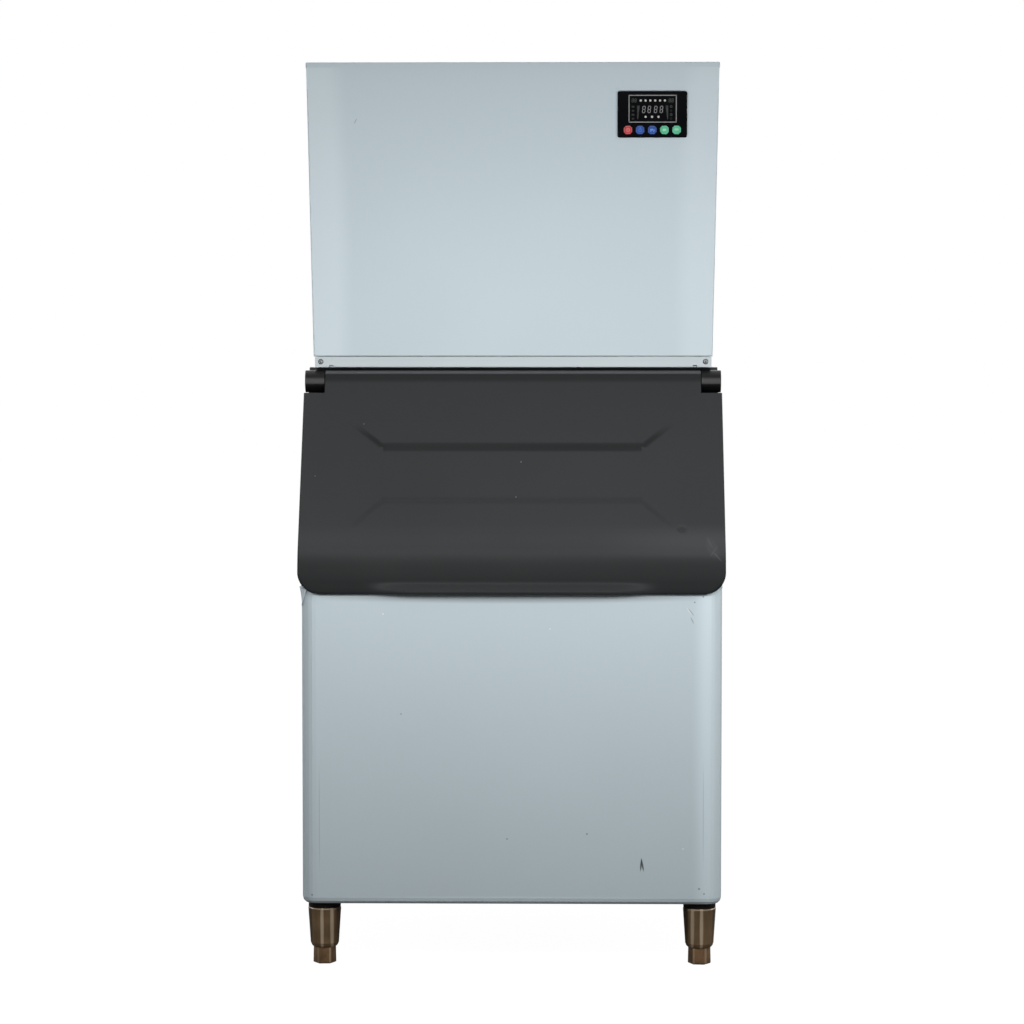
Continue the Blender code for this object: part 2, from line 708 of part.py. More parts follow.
for place, x, y in leg_places():
    add_part("leg_cup_" + place, turned(cup_profile, 16, (x, y)), "leg_metal")
    foot_holder = empty("foot_slide_" + place, (x, y, FOOT_HEIGHT))
    foot_bm = rod((0, 0, -FOOT_HEIGHT), (0, 0, 0), FOOT_ACROSS_CORNERS / 2, 6)
    sole = [e for e in foot_bm.edges if all(v.co.z < -FOOT_HEIGHT + WELD for v in e.verts)]
    bmesh.ops.bevel(foot_bm, geom=sole, offset=0.0025, segments=2, profile=0.5, affect='EDGES', material=-1)
    foot = add_part("foot_" + place, foot_bm, "leg_metal")
    join(foot, "stem_" + place, rod((0, 0, -0.005), (0, 0, STEM_TOP_Z - FOOT_HEIGHT), FOOT_STEM_RADIUS, 12))
    seat_in(foot, foot_holder)

# Lid: a moulded shell on two hinge knuckles
LID_FRONT_Y = FRONT_Y - LIP_REACH
LID_BULGE_Z = LID_FOOT_Z + 0.056
LID_REAR_FACE = MOUTH_FACE + 0.0023
lid_hinge = empty("lid_hinge", (0, HINGE_Y, HINGE_Z), SLOPE_TILT)


def lid_section(foot_y, foot_z):
    """Side view of the lid, from the round top over the hinge axis down to its foot."""
    rear_y = HINGE_Y + LID_TOP_RADIUS
    top_z = HINGE_Z + LID_TOP_RADIUS
    skirt_y = FRONT_Y - 0.003
    bulge_y = slope_depth(LID_BULGE_Z, LID_TOP_RADIUS) + 0.001
    return filleted([
        (slope_depth(top_z, LID_TOP_RADIUS), top_z, LID_TOP_RADIUS - GAP),
        (rear_y, top_z, LID_TOP_RADIUS - GAP),
        (rear_y, slope_height(rear_y, LID_REAR_FACE), 0.004),
        (skirt_y, slope_height(skirt_y, LID_REAR_FACE), 0.002),
        (skirt_y, foot_z, 0.001),
        (foot_y, foot_z, 0.006),
        (bulge_y, LID_BULGE_Z, 0.050),
    ], 5)


lid = add_part("lid_shell", slab([lid_section(FRONT_Y - 0.014, LID_FOOT_Z)], -LID_WIDTH, LID_WIDTH, "YZ"),
               "dark_plastic")
KNUCKLE_OUT = KNUCKLE_SPAN / 2
KNUCKLE_IN = KNUCKLE_OUT - KNUCKLE_LENGTH
NOTCH_X = KNUCKLE_IN - KNUCKLE_NOTCH_GAP
NOTCH_FOOT_Z = HINGE_Z - KNUCKLE_RADIUS - 0.0005
TOP_Z = HINGE_Z + LID_TOP_RADIUS + 0.01
lid_front = filleted([
    (-LID_WIDTH / 2, LID_FOOT_Z - 0.0005, LID_CORNER),
    (LID_WIDTH / 2, LID_FOOT_Z - 0.0005, LID_CORNER),
    (LID_WIDTH / 2, NOTCH_FOOT_Z, 0.003),
    (NOTCH_X, NOTCH_FOOT_Z, 0.003),
    (NOTCH_X, TOP_Z, 0),
    (-NOTCH_X, TOP_Z, 0),
    (-NOTCH_X, NOTCH_FOOT_Z, 0.003),
    (-LID_WIDTH / 2, NOTCH_FOOT_Z, 0.003),
], 5)
keep(lid, "lid_front_outline", slab([lid_front], FRONT_Y - 0.2, HINGE_Y + 0.1, "XZ"))


def lid_pocket(half, out_high):
    """The hollow behind the lid's face, open to the rear, in the slope's own axes and then in place."""
    profile = [
        (-POCKET_TOP, -POCKET_DEPTH),
        (-POCKET_TOP, out_high),
        (-POCKET_FOOT + 0.040, out_high),
        (-POCKET_FOOT + 0.018, out_high - 0.012),
        (-POCKET_FOOT, LID_REAR_FACE),
        (-POCKET_FOOT, -POCKET_DEPTH),
    ]
    bm = slab([profile], -half, half, "YZ")
    bmesh.ops.transform(bm, matrix=SLOPE_FRAME, verts=bm.verts)
    return bm


cut(lid, "lid_hollow", lid_pocket(LID_WIDTH / 2 - LID_RIM, LID_TOP_RADIUS - LID_WALL))

# Raised pads of the lid's face: each stands proud at one edge and runs out flush at the other
def wedge(far_v, far_half, near_v, near_half, proud):
    """A tapered pad on the slope, flush at its wide far edge and proud at its narrow near edge."""
    bm = bmesh.new()
    base = LID_TOP_RADIUS - 0.002
    flush = LID_TOP_RADIUS + 0.0002
    high = LID_TOP_RADIUS + proud
    plan = ((-far_half, far_v), (far_half, far_v), (near_half, near_v), (-near_half, near_v))
    rim = [bm.verts.new((*place, base)) for place in plan]
    top = [bm.verts.new((*place, out)) for place, out in zip(plan, (flush, flush, high, high))]
    bm.faces.new(rim)
    bm.faces.new(top)
    for index in range(4):
        after = (index + 1) % 4
        bm.faces.new((rim[index], rim[after], top[after], top[index]))
    bmesh.ops.recalc_face_normals(bm, faces=bm.faces)
    edge = [e for e in bm.edges if all(v in (top[2], top[3]) for v in e.verts)]
    bmesh.ops.bevel(bm, geom=edge, offset=proud * 0.5, segments=2, profile=0.5, affect='EDGES', material=-1)
    bmesh.ops.transform(bm, matrix=SLOPE_FRAME, verts=bm.verts)
    return bm


UPPER_PAD = ((-0.0907, 0.298), (-0.146, 0.234))
LOWER_PAD_RISE = 0.1172
lower_far = LOWER_PAD_RISE - LID_SLOPE_LENGTH
LOWER_PAD = ((lower_far, 0.296), (lower_far + 0.061, 0.232))
for pad_name, (far, near) in (("upper_pad", UPPER_PAD), ("lower_pad", LOWER_PAD)):
    join(lid, pad_name, wedge(far[0], far[1], near[0], near[1], PAD_HEIGHT))

# Grip lip along the foot, full at the middle and run out towards its ends
lip_side = filleted([
    (FRONT_Y - 0.006, LID_FOOT_Z, 0),
    (LID_FRONT_Y, LID_FOOT_Z, 0.002),
    (LID_FRONT_Y, LID_FOOT_Z + 0.008, 0.003),
    (FRONT_Y - 0.016, LID_FOOT_Z + 0.026, 0.008),
    (FRONT_Y - 0.006, LID_FOOT_Z + 0.030, 0),
], 3)
lip = add_tool("grip_lip", slab([lip_side], -LIP_LENGTH / 2, LIP_LENGTH / 2, "YZ"))
lip_plan = filleted([
    (-LIP_LENGTH / 2, FRONT_Y - 0.0055, 0),
    (LIP_LENGTH / 2, FRONT_Y - 0.0055, 0),
    (LIP_LENGTH / 2 - 0.002, FRONT_Y - 0.013, 0.004),
    (LIP_FLAT / 2, LID_FRONT_Y, 0.120),
    (-LIP_FLAT / 2, LID_FRONT_Y, 0.120),
    (-LIP_LENGTH / 2 + 0.002, FRONT_Y - 0.013, 0.004),
], 5)
keep(lip, "lip_plan", slab([lip_plan], LID_FOOT_Z - 0.01, LID_FOOT_Z + 0.05))
combine(lid, 'UNION', lip)

# Pin holes in the lid's ends, and the small round dimple near its right edge
for side, sign in SIDES:
    cut(lid, "pin_hole_" + side, rod((sign * (NOTCH_X - PIN_REACH - 0.002), HINGE_Y, HINGE_Z),
                                     (sign * (NOTCH_X + 0.01), HINGE_Y, HINGE_Z), PIN_RADIUS + GAP, 12))
DIMPLE_EDGE = 0.0785
DIMPLE_RISE = 0.1215
DIMPLE = (LID_WIDTH / 2 - DIMPLE_EDGE, DIMPLE_RISE - LID_SLOPE_LENGTH)
dimple_bm = rod((DIMPLE[0], DIMPLE[1], LID_TOP_RADIUS - 0.002), (DIMPLE[0], DIMPLE[1], 0.04), 0.0085, 16)
bmesh.ops.transform(dimple_bm, matrix=SLOPE_FRAME, verts=dimple_bm.verts)
cut(lid, "dimple", dimple_bm)
hang(lid, lid_hinge)

# Inner skin of the lid: a shallow pan that closes the hollow and reaches a little into the mouth
SKIN = 0.003
skin_half = LID_WIDTH / 2 - LID_RIM - GAP
skin_rect = rectangle(-skin_half, skin_half, -POCKET_FOOT + 0.004, -POCKET_TOP - 0.0005, 0.004, 2)
skin_bm = slab([skin_rect], LID_REAR_FACE + GAP, LID_REAR_FACE + GAP + SKIN)
inner = add_part("lid_inner_skin", skin_bm, "white_plastic")
PLUG_MARGIN = 0.022
plug = (-MOUTH_WIDTH / 2 + PLUG_MARGIN, MOUTH_WIDTH / 2 - PLUG_MARGIN, -MOUTH_FOOT + PLUG_MARGIN,
        -MOUTH_TOP - PLUG_MARGIN)
PLUG_DEPTH = 0.016
join(inner, "skin_plug", slab([rectangle(*plug, 0.020, 4)], MOUTH_FACE - PLUG_DEPTH, LID_REAR_FACE + 0.001))
cut(inner, "skin_recess", slab([rectangle(plug[0] + SKIN, plug[1] - SKIN, plug[2] + SKIN, plug[3] - SKIN,
                                          0.017, 4)], MOUTH_FACE - PLUG_DEPTH + SKIN, 0.01))
seat_in(inner, lid_hinge)

# Rubber gasket round the mouth, carried by the lid's skin
gasket_bm = slab([
    rectangle(-MOUTH_WIDTH / 2 - GASKET_WIDTH, MOUTH_WIDTH / 2 + GASKET_WIDTH, -MOUTH_FOOT - GASKET_WIDTH,
              -MOUTH_TOP + 0.007, 0.020, 4),
    rectangle(-MOUTH_WIDTH / 2 + 0.002, MOUTH_WIDTH / 2 - 0.002, -MOUTH_FOOT + 0.002, -MOUTH_TOP - 0.002,
              0.018, 4),
], MOUTH_FACE + GAP, LID_REAR_FACE)
gasket = add_part("lid_gasket", gasket_bm, "rubber")
seat_in(gasket, lid_hinge)

# Knuckles screwed to the frame, each with its pin
knuckle_low = HINGE_Z - KNUCKLE_RADIUS
knuckle_high = HINGE_Z + KNUCKLE_RADIUS
knuckle_seat = MOUTH_FACE + GAP
knuckle_outline = filleted([
    (HINGE_Y - KNUCKLE_RADIUS, knuckle_low, KNUCKLE_RADIUS - GAP),
    (HINGE_Y - KNUCKLE_RADIUS, knuckle_high, KNUCKLE_RADIUS - GAP),
    (slope_depth(knuckle_high, knuckle_seat), knuckle_high, 0.012),
    (slope_depth(knuckle_low, knuckle_seat), knuckle_low, 0.001),
], 7)
for side, sign in SIDES:
    ends = sorted((sign * KNUCKLE_IN, sign * KNUCKLE_OUT))
    knuckle_bm = slab([knuckle_outline], ends[0], ends[1], "YZ")
    knuckle = add_part("hinge_knuckle_" + side, knuckle_bm, "black_plastic")
    join(knuckle, "hinge_pin_" + side, rod((sign * (NOTCH_X - PIN_REACH), HINGE_Y, HINGE_Z),
                                           (sign * (KNUCKLE_IN + 0.010), HINGE_Y, HINGE_Z), PIN_RADIUS, 12))

# Head casing
HEAD_REAR_Y = REAR_Y - HEAD_REAR_INSET
HEAD_LEAN = PANEL_LEAN / HEAD_HEIGHT
HEAD_FLARE = HEAD_SPREAD / HEAD_HEIGHT
LEAN_ANGLE = math.atan(HEAD_LEAN)


def head_half(z):
    return HEAD_FOOT_WIDTH / 2 + HEAD_FLARE * (z - HEAD_FOOT_Z)


def panel_y(z):
    return PANEL_Y - HEAD_LEAN * (z - HEAD_FOOT_Z)


def lean(bm):
    """Lean a shape that was made upright at the panel's foot forward, as the panel does."""
    for vert in bm.verts:
        vert.co.y -= HEAD_LEAN * (vert.co.z - HEAD_FOOT_Z)


def flare(bm, sign):
    """Lean a side panel outwards."""
    for vert in bm.verts:
        vert.co.x += sign * HEAD_FLARE * (vert.co.z - HEAD_FOOT_Z)


# Base tray: its front wall is the narrow strip under the front panel
tray_foot = DECK_Z + GAP
tray_floor = tray_foot + SHEET
tray_front = FRONT_Y + STRIP_SETBACK
tray = add_part("head_base_tray", block((-STRIP_WIDTH / 2, tray_front, tray_foot),
                                        (STRIP_WIDTH / 2, HEAD_REAR_Y, HEAD_FOOT_Z - GAP)), "casing_steel")
cut(tray, "tray_inside", block((-STRIP_WIDTH / 2 + SHEET, tray_front + SHEET, tray_floor),
                               (STRIP_WIDTH / 2 - SHEET, HEAD_REAR_Y - SHEET, HEAD_FOOT_Z + 0.01)))
cut(tray, "tray_drop", drop_hole(tray_foot - 0.01, tray_floor + 0.01))
SCREW_Z = (tray_foot + HEAD_FOOT_Z) / 2
STRIP_NOTCH_X = STRIP_WIDTH / 2 - 0.0305
for side, sign in SIDES:
    cut(tray, "screw_hole_" + side, rod((sign * SCREW_SPACING / 2, tray_front - 0.01, SCREW_Z),
                                        (sign * SCREW_SPACING / 2, tray_front + 0.01, SCREW_Z), 0.0025, 12))
    notch = sign * STRIP_NOTCH_X
    cut(tray, "strip_notch_" + side, block((notch - 0.004, tray_front - 0.01, tray_foot - 0.01),
                                           (notch + 0.004, tray_front + SHEET + 0.001, tray_foot + 0.003)))
    add_part("panel_screw_" + side, turned([
        (0, 0.0025),
        (0.0028, 0.0022),
        (SCREW_RADIUS, 0.0008),
        (SCREW_RADIUS, GAP),
        (0.0022, GAP),
        (0.0022, -0.008),
        (0, -0.008),
    ], 12, (sign * SCREW_SPACING / 2, tray_front, SCREW_Z), 'Y'), "stainless")

# Side panels with rows of cooling slots
side_foot = HEAD_FOOT_Z + GAP
side_top = HEAD_TOP_Z
SIDE_FRONT = PANEL_RETURN + GAP
LOUVRE_LENGTH = 0.150
LOUVRE_HEIGHT = 0.008
LOUVRE_PITCH = 0.026
LOUVRE_ROWS = 7
LOUVRE_MIDDLE = 0.250
LOUVRE_SETBACKS = (0.250, 0.440)
for side, sign in SIDES:
    outline = [
        (panel_y(side_foot) + SIDE_FRONT, side_foot),
        (HEAD_REAR_Y, side_foot),
        (HEAD_REAR_Y, side_top),
        (panel_y(side_top) + SIDE_FRONT, side_top),
    ]
    half = HEAD_FOOT_WIDTH / 2
    ends = sorted((sign * (half - SIDE_FLANGE), sign * half))
    bm = slab([outline], ends[0], ends[1], "YZ")
    flare(bm, sign)
    panel = add_part("side_panel_" + side, bm, "casing_steel")
    ends = sorted((sign * (half - SIDE_FLANGE - 0.01), sign * (half - SHEET)))
    bm = slab([widened(outline, -SHEET)], ends[0], ends[1], "YZ")
    flare(bm, sign)
    cut(panel, "side_inside_" + side, bm)
    rows = []
    for row in range(LOUVRE_ROWS):
        z = HEAD_FOOT_Z + LOUVRE_MIDDLE + (row - (LOUVRE_ROWS - 1) / 2) * LOUVRE_PITCH
        for setback in LOUVRE_SETBACKS:
            rows.append(slab([slot(PANEL_Y + setback, z, LOUVRE_LENGTH, LOUVRE_HEIGHT, 1)],
                             sign * half - SIDE_FLANGE / 2, sign * half + SIDE_FLANGE / 2, "YZ"))
    slots = merged(*rows)
    flare(slots, sign)
    cut(panel, "side_slots_" + side, slots)

# Rear panel between the side panels' flanges, with the fan grille
rear_foot = HEAD_FOOT_Z + GAP
rear_low_half = head_half(rear_foot) - SHEET - GAP
rear_high_half = head_half(side_top) - SHEET - GAP
REAR_PANEL_OUT = HEAD_REAR_Y - SHEET - GAP
rear_outline = [
    (-rear_low_half, rear_foot + SHEET + GAP),
    (rear_low_half, rear_foot + SHEET + GAP),
    (rear_high_half, side_top - SHEET - GAP),
    (-rear_high_half, side_top - SHEET - GAP),
]
WATER_PORT_RADIUS = 0.0095
GLAND_RADIUS = 0.009
GRILLE_RADIUS = FAN_RADIUS - 0.003
GRILLE_PITCH = 0.017
GRILLE_SLOT = 0.009
holes = []
rows = int(GRILLE_RADIUS / GRILLE_PITCH)
for row in range(-rows, rows + 1):
    reach = math.sqrt(GRILLE_RADIUS ** 2 - (row * GRILLE_PITCH) ** 2)
    if reach > GRILLE_SLOT:
        holes.append(slot(FAN_X, FAN_Z + row * GRILLE_PITCH, 2 * reach, GRILLE_SLOT, 1))
holes.append(circle(*WATER_PORT, WATER_PORT_RADIUS + GAP, 12))
holes.append(circle(*GLAND_PORT, GLAND_RADIUS + GAP, 12))
add_part("rear_panel", slab([rear_outline] + holes, REAR_PANEL_OUT - SHEET, REAR_PANEL_OUT, "XZ"),
         "galvanised")

# Front panel: one folded sheet with returned edges, leaning forward and widening upwards
panel_foot = HEAD_FOOT_Z + GAP
panel_outline = [
    (-head_half(panel_foot), panel_foot),
    (head_half(panel_foot), panel_foot),
    (head_half(side_top), side_top),
    (-head_half(side_top), side_top),
]
bm = slab([panel_outline], PANEL_Y, PANEL_Y + PANEL_RETURN, "XZ")
front_rim = [e for e in bm.edges if all(abs(v.co.y - PANEL_Y) < WELD for v in e.verts)
             and e.calc_face_angle(0) > 0.5]
bmesh.ops.bevel(bm, geom=front_rim, offset=0.0025, segments=3, profile=0.5, affect='EDGES', material=-1)
lean(bm)
front_panel = add_part("front_panel", bm, "casing_steel")
bm = slab([widened(panel_outline, -SHEET)], PANEL_Y + SHEET, PANEL_Y + PANEL_RETURN + 0.01, "XZ")
lean(bm)
cut(front_panel, "panel_inside", bm)

# Top cover: a shallow pan turned upside down over the casing
cover_front = panel_y(HEAD_TOP_Z) - 0.0006
cover_half = head_half(HEAD_TOP_Z) + 0.0008
cover_low = HEAD_TOP_Z + GAP
cover_bm = block((-cover_half, cover_front, cover_low), (cover_half, HEAD_REAR_Y, HEAD_TOP_Z + COVER_HEIGHT))
cover_rim = [e for e in cover_bm.edges if not all(abs(v.co.z - cover_low) < WELD for v in e.verts)]
bmesh.ops.bevel(cover_bm, geom=cover_rim, offset=0.0022, segments=3, profile=0.5, affect='EDGES', material=-1)
cover = add_part("top_cover", cover_bm, "casing_steel")
cut(cover, "cover_inside", block(
    (-cover_half + SHEET, cover_front + SHEET, cover_low - 0.01),
    (cover_half - SHEET, HEAD_REAR_Y - SHEET, HEAD_TOP_Z + COVER_HEIGHT - SHEET)))

# Control panel: a moulded black block through the front panel, with its window and five buttons
control_seat = empty("control_seat", (CONTROL_X, panel_y(CONTROL_Z), CONTROL_Z), LEAN_ANGLE)
bezel_bm = slab([rectangle(-CONTROL_WIDTH / 2, CONTROL_WIDTH / 2, -CONTROL_HEIGHT / 2, CONTROL_HEIGHT / 2,
                           CONTROL_CORNER, 4)], -CONTROL_PROUD, -GAP, "XZ")
bezel = add_part("control_bezel", bezel_bm, "display")
boss_half_x = CONTROL_WIDTH / 2 - CONTROL_OVERLAP
boss_half_z = CONTROL_HEIGHT / 2 - CONTROL_OVERLAP / 2
join(bezel, "control_boss", block((-boss_half_x, -CONTROL_PROUD / 2, -boss_half_z),
                                  (boss_half_x, CONTROL_BOSS_DEPTH, boss_half_z)))
cut(bezel, "window_seat", slab([rectangle(-WINDOW_WIDTH / 2 - GAP, WINDOW_WIDTH / 2 + GAP,
                                          WINDOW_RAISE - WINDOW_HEIGHT / 2 - GAP,
                                          WINDOW_RAISE + WINDOW_HEIGHT / 2 + GAP, 0.001, 2)],
                               -CONTROL_PROUD - 0.01, -CONTROL_PROUD + WINDOW_THICKNESS + GAP, "XZ"))
for index in range(5):
    x = (index - 2) * BUTTON_PITCH
    half = BUTTON_WIDTH / 2 + BUTTON_GAP
    cut(bezel, "button_well_%d" % (index + 1),
        slab([filleted([(x + a * half, -BUTTON_DROP + b * half, BUTTON_CUT) for a, b in
                        ((-1, -1), (1, -1), (1, 1), (-1, 1))], 1)],
             -CONTROL_PROUD - 0.01, -CONTROL_PROUD - BUTTON_PROUD + BUTTON_DEPTH + BUTTON_TRAVEL + GAP, "XZ"))
seat_in(bezel, control_seat)
control_cut = add_tool("control_opening", block((-boss_half_x - GAP, -0.02, -boss_half_z - GAP),
                                                (boss_half_x + GAP, 0.02, boss_half_z + GAP)))
control_cut.parent = control_seat
combine(front_panel, 'DIFFERENCE', control_cut)

window = add_part("display_window", slab([rectangle(-WINDOW_WIDTH / 2, WINDOW_WIDTH / 2,
                                                    WINDOW_RAISE - WINDOW_HEIGHT / 2,
                                                    WINDOW_RAISE + WINDOW_HEIGHT / 2, 0.001, 2)],
                                         -CONTROL_PROUD, -CONTROL_PROUD + WINDOW_THICKNESS, "XZ"), "display")
seat_in(window, control_seat)
BUTTON_FINISHES = ("red_button", "blue_button", "blue_button", "green_button", "green_button")
for index, finish in enumerate(BUTTON_FINISHES):
    x = (index - 2) * BUTTON_PITCH
    half = BUTTON_WIDTH / 2
    outline = filleted([(x + a * half, -BUTTON_DROP + b * half, BUTTON_CUT) for a, b in
                        ((-1, -1), (1, -1), (1, 1), (-1, 1))], 1)
    button_front = -CONTROL_PROUD - BUTTON_PROUD
    button_bm = slab([outline], button_front, button_front + BUTTON_DEPTH, "XZ")
    face_rim = [e for e in button_bm.edges if all(abs(v.co.y - button_front) < WELD for v in e.verts)
                and e.calc_face_angle(0) > 0.5]
    bmesh.ops.bevel(button_bm, geom=face_rim, offset=0.0006, segments=2, profile=0.5, affect='EDGES',
                    material=-1)
    button = add_part("button_%d" % (index + 1), button_bm, finish)
    seat_in(button, control_seat)

# Ice making: gearbox, barrel, auger, motor, spout and chute
GEAR_CENTRE = GEAR_MODULE * (GEAR_TEETH + PINION_TEETH) / 2
MOTOR_X = EVAPORATOR_X + GEAR_CENTRE
EVAPORATOR_Y = DROP_Y
GEARBOX_FOOT_Z = tray_floor + GEARBOX_LIFT
GEARBOX_FLOOR_Z = GEARBOX_FOOT_Z + GEARBOX_WALL
GEAR_LOW_Z = GEARBOX_FLOOR_Z + 0.006
GEARBOX_RIM_Z = GEAR_LOW_Z + GEAR_WIDTH + 0.006
BARREL_FOOT_Z = GEARBOX_RIM_Z + GAP + GEARBOX_WALL + GAP
BARREL_TOP_Z = BARREL_FOOT_Z + BARREL_HEIGHT
PRESSURE = math.radians(20)


def tooth_half_angle(radius, teeth):
    """Half the angle that an involute tooth takes up at a radius."""
    pitch = GEAR_MODULE * teeth / 2
    base = pitch * math.cos(PRESSURE)
    lean_here = math.acos(min(1.0, base / max(radius, base)))
    involute_pitch = math.tan(PRESSURE) - PRESSURE
    involute_here = math.tan(lean_here) - lean_here
    return math.pi / (2 * teeth) + involute_pitch - involute_here - GEAR_BACKLASH / (2 * pitch)


def gear_outline(teeth, centre, turn=0.0):
    pitch = GEAR_MODULE * teeth / 2
    root = pitch - 1.25 * GEAR_MODULE
    levels = [root, pitch - 0.2 * GEAR_MODULE, pitch + 0.9 * GEAR_MODULE]
    points = []
    for tooth in range(teeth):
        middle = turn + 2 * math.pi * tooth / teeth
        rising = [(radius, middle - tooth_half_angle(radius, teeth)) for radius in levels]
        falling = [(radius, middle + tooth_half_angle(radius, teeth)) for radius in reversed(levels)]
        for radius, angle in rising + falling:
            points.append(Vector(centre) + radius * Vector((math.cos(angle), math.sin(angle))))
    return points


def hull_outline(grow):
    """The gearbox's outline: an arc round the wheel, an arc round the pinion and the two lines between."""
    wheel = GEAR_MODULE * (GEAR_TEETH / 2 + 1) + 0.004 + grow
    small = GEAR_MODULE * (PINION_TEETH / 2 + 1) + 0.004 + grow
    tilt = math.acos((wheel - small) / GEAR_CENTRE)
    points = []
    for centre, radius, start, sweep, steps in (
            (EVAPORATOR_X, wheel, tilt, 2 * math.pi - 2 * tilt, 18), (MOTOR_X, small, -tilt, 2 * tilt, 6)):
        for step in range(steps + 1):
            angle = start + sweep * step / steps
            points.append(Vector((centre + radius * math.cos(angle),
                                  EVAPORATOR_Y + radius * math.sin(angle))))
    return points


gearbox = add_part("gearbox_case", slab([hull_outline(GEARBOX_WALL)], GEARBOX_FOOT_Z, GEARBOX_RIM_Z),
                   "cast_metal")
cut(gearbox, "gearbox_inside", slab([hull_outline(0)], GEARBOX_FLOOR_Z, GEARBOX_RIM_Z + 0.01))
for index, (x, y) in enumerate(((EVAPORATOR_X - 0.060, 0.050), (EVAPORATOR_X - 0.060, -0.050),
                                (MOTOR_X, 0.030), (MOTOR_X, -0.030))):
    join(gearbox, "gearbox_leg_%d" % index, rod((x, EVAPORATOR_Y + y, tray_floor + GAP),
                                                (x, EVAPORATOR_Y + y, GEARBOX_FOOT_Z + 0.002), 0.011, 8))
for x, name in ((EVAPORATOR_X, "auger_bearing"), (MOTOR_X, "pinion_bearing")):
    join(gearbox, name, rod((x, EVAPORATOR_Y, GEARBOX_FLOOR_Z - 0.002), (x, EVAPORATOR_Y, GEAR_LOW_Z - 0.002),
                            0.020, 12))
    cut(gearbox, name + "_bore", rod((x, EVAPORATOR_Y, GEARBOX_FLOOR_Z - 0.002),
                                     (x, EVAPORATOR_Y, GEAR_LOW_Z + 0.01), 0.010 + GAP, 18))
add_part("gearbox_cover", slab([hull_outline(GEARBOX_WALL),
                                circle(EVAPORATOR_X, EVAPORATOR_Y, AUGER_SHAFT_RADIUS + GAP, 16),
                                circle(MOTOR_X, EVAPORATOR_Y, 0.008 + GAP, 12)],
                               GEARBOX_RIM_Z + GAP, GEARBOX_RIM_Z + GAP + GEARBOX_WALL), "cast_metal")

auger_axis = empty("auger_axis", (EVAPORATOR_X, EVAPORATOR_Y, BARREL_FOOT_Z))
wheel_bore = 0.010 + GAP
wheel = add_part("auger_gear", slab([gear_outline(GEAR_TEETH, (EVAPORATOR_X, EVAPORATOR_Y)),
                                     circle(EVAPORATOR_X, EVAPORATOR_Y, wheel_bore, 12)],
                                    GEAR_LOW_Z, GEAR_LOW_Z + GEAR_WIDTH), "gear_steel")
hang(wheel, auger_axis)
pinion_axis = empty("pinion_axis", (MOTOR_X, EVAPORATOR_Y, GEAR_LOW_Z))
pinion = add_part("motor_pinion", slab([gear_outline(PINION_TEETH, (MOTOR_X, EVAPORATOR_Y),
                                                     math.pi + math.pi / PINION_TEETH)],
                                       GEAR_LOW_Z, GEAR_LOW_Z + GEAR_WIDTH), "gear_steel")
MOTOR_FOOT_Z = BARREL_FOOT_Z
join(pinion, "pinion_shaft", rod((MOTOR_X, EVAPORATOR_Y, GEARBOX_FLOOR_Z - 0.0015),
                                 (MOTOR_X, EVAPORATOR_Y, MOTOR_FOOT_Z + 0.020), 0.008, 12))
hang(pinion, pinion_axis)
motor = add_part("drive_motor", turned([
    (0, MOTOR_FOOT_Z + MOTOR_HEIGHT),
    (MOTOR_RADIUS - 0.012, MOTOR_FOOT_Z + MOTOR_HEIGHT),
    (MOTOR_RADIUS - 0.002, MOTOR_FOOT_Z + MOTOR_HEIGHT - 0.008),
    (MOTOR_RADIUS, MOTOR_FOOT_Z + MOTOR_HEIGHT - 0.016),
    (MOTOR_RADIUS, MOTOR_FOOT_Z + 0.010),
    (MOTOR_RADIUS - 0.004, MOTOR_FOOT_Z),
    (0.008 + GAP, MOTOR_FOOT_Z),
    (0.008 + GAP, MOTOR_FOOT_Z + 0.022),
    (0, MOTOR_FOOT_Z + 0.022),
], 20, (MOTOR_X, EVAPORATOR_Y)), "black_paint")

# Barrel: a double-walled tube with a flange at each end; ice leaves through a window at its top
BARREL_FLANGE = 0.062
FLANGE_HEIGHT = 0.008
barrel = add_part("evaporator_barrel", turned([
    (BARREL_FLANGE, BARREL_TOP_Z),
    (BARREL_FLANGE, BARREL_TOP_Z - FLANGE_HEIGHT),
    (BARREL_RADIUS, BARREL_TOP_Z - FLANGE_HEIGHT - 0.002),
    (BARREL_RADIUS, BARREL_FOOT_Z + FLANGE_HEIGHT + 0.002),
    (BARREL_FLANGE, BARREL_FOOT_Z + FLANGE_HEIGHT),
    (BARREL_FLANGE, BARREL_FOOT_Z),
    (AUGER_SHAFT_RADIUS + GAP, BARREL_FOOT_Z),
    (AUGER_SHAFT_RADIUS + GAP, BARREL_FOOT_Z + 0.014),
    (BARREL_BORE, BARREL_FOOT_Z + 0.016),
    (BARREL_BORE, BARREL_TOP_Z),
], 20, (EVAPORATOR_X, EVAPORATOR_Y)), "stainless")

AUGER_FOOT_Z = BARREL_FOOT_Z + 0.020
AUGER_TURNS = (BARREL_HEIGHT - 0.030) / AUGER_PITCH


def helix_flight(inner, outer, width, foot_z, turns, pitch, steps):
    """A helical blade: its cross-section is spun round the axis and raised a pitch each turn."""
    bm = bmesh.new()
    section = [bm.verts.new(place) for place in (
        (inner, 0, foot_z), (outer, 0, foot_z + width * 0.25), (outer, 0, foot_z + width * 0.75),
        (inner, 0, foot_z + width))]
    start = bm.faces.new(section)
    total = int(turns * steps)
    ring = list(start.edges)
    bmesh.ops.spin(bm, geom=section + ring, cent=(0, 0, 0), axis=(0, 0, 1), dvec=(0, 0, pitch / steps),
                   angle=2 * math.pi * total / steps, steps=total, use_duplicate=False)
    bmesh.ops.holes_fill(bm, edges=bm.edges, sides=4)
    return bm


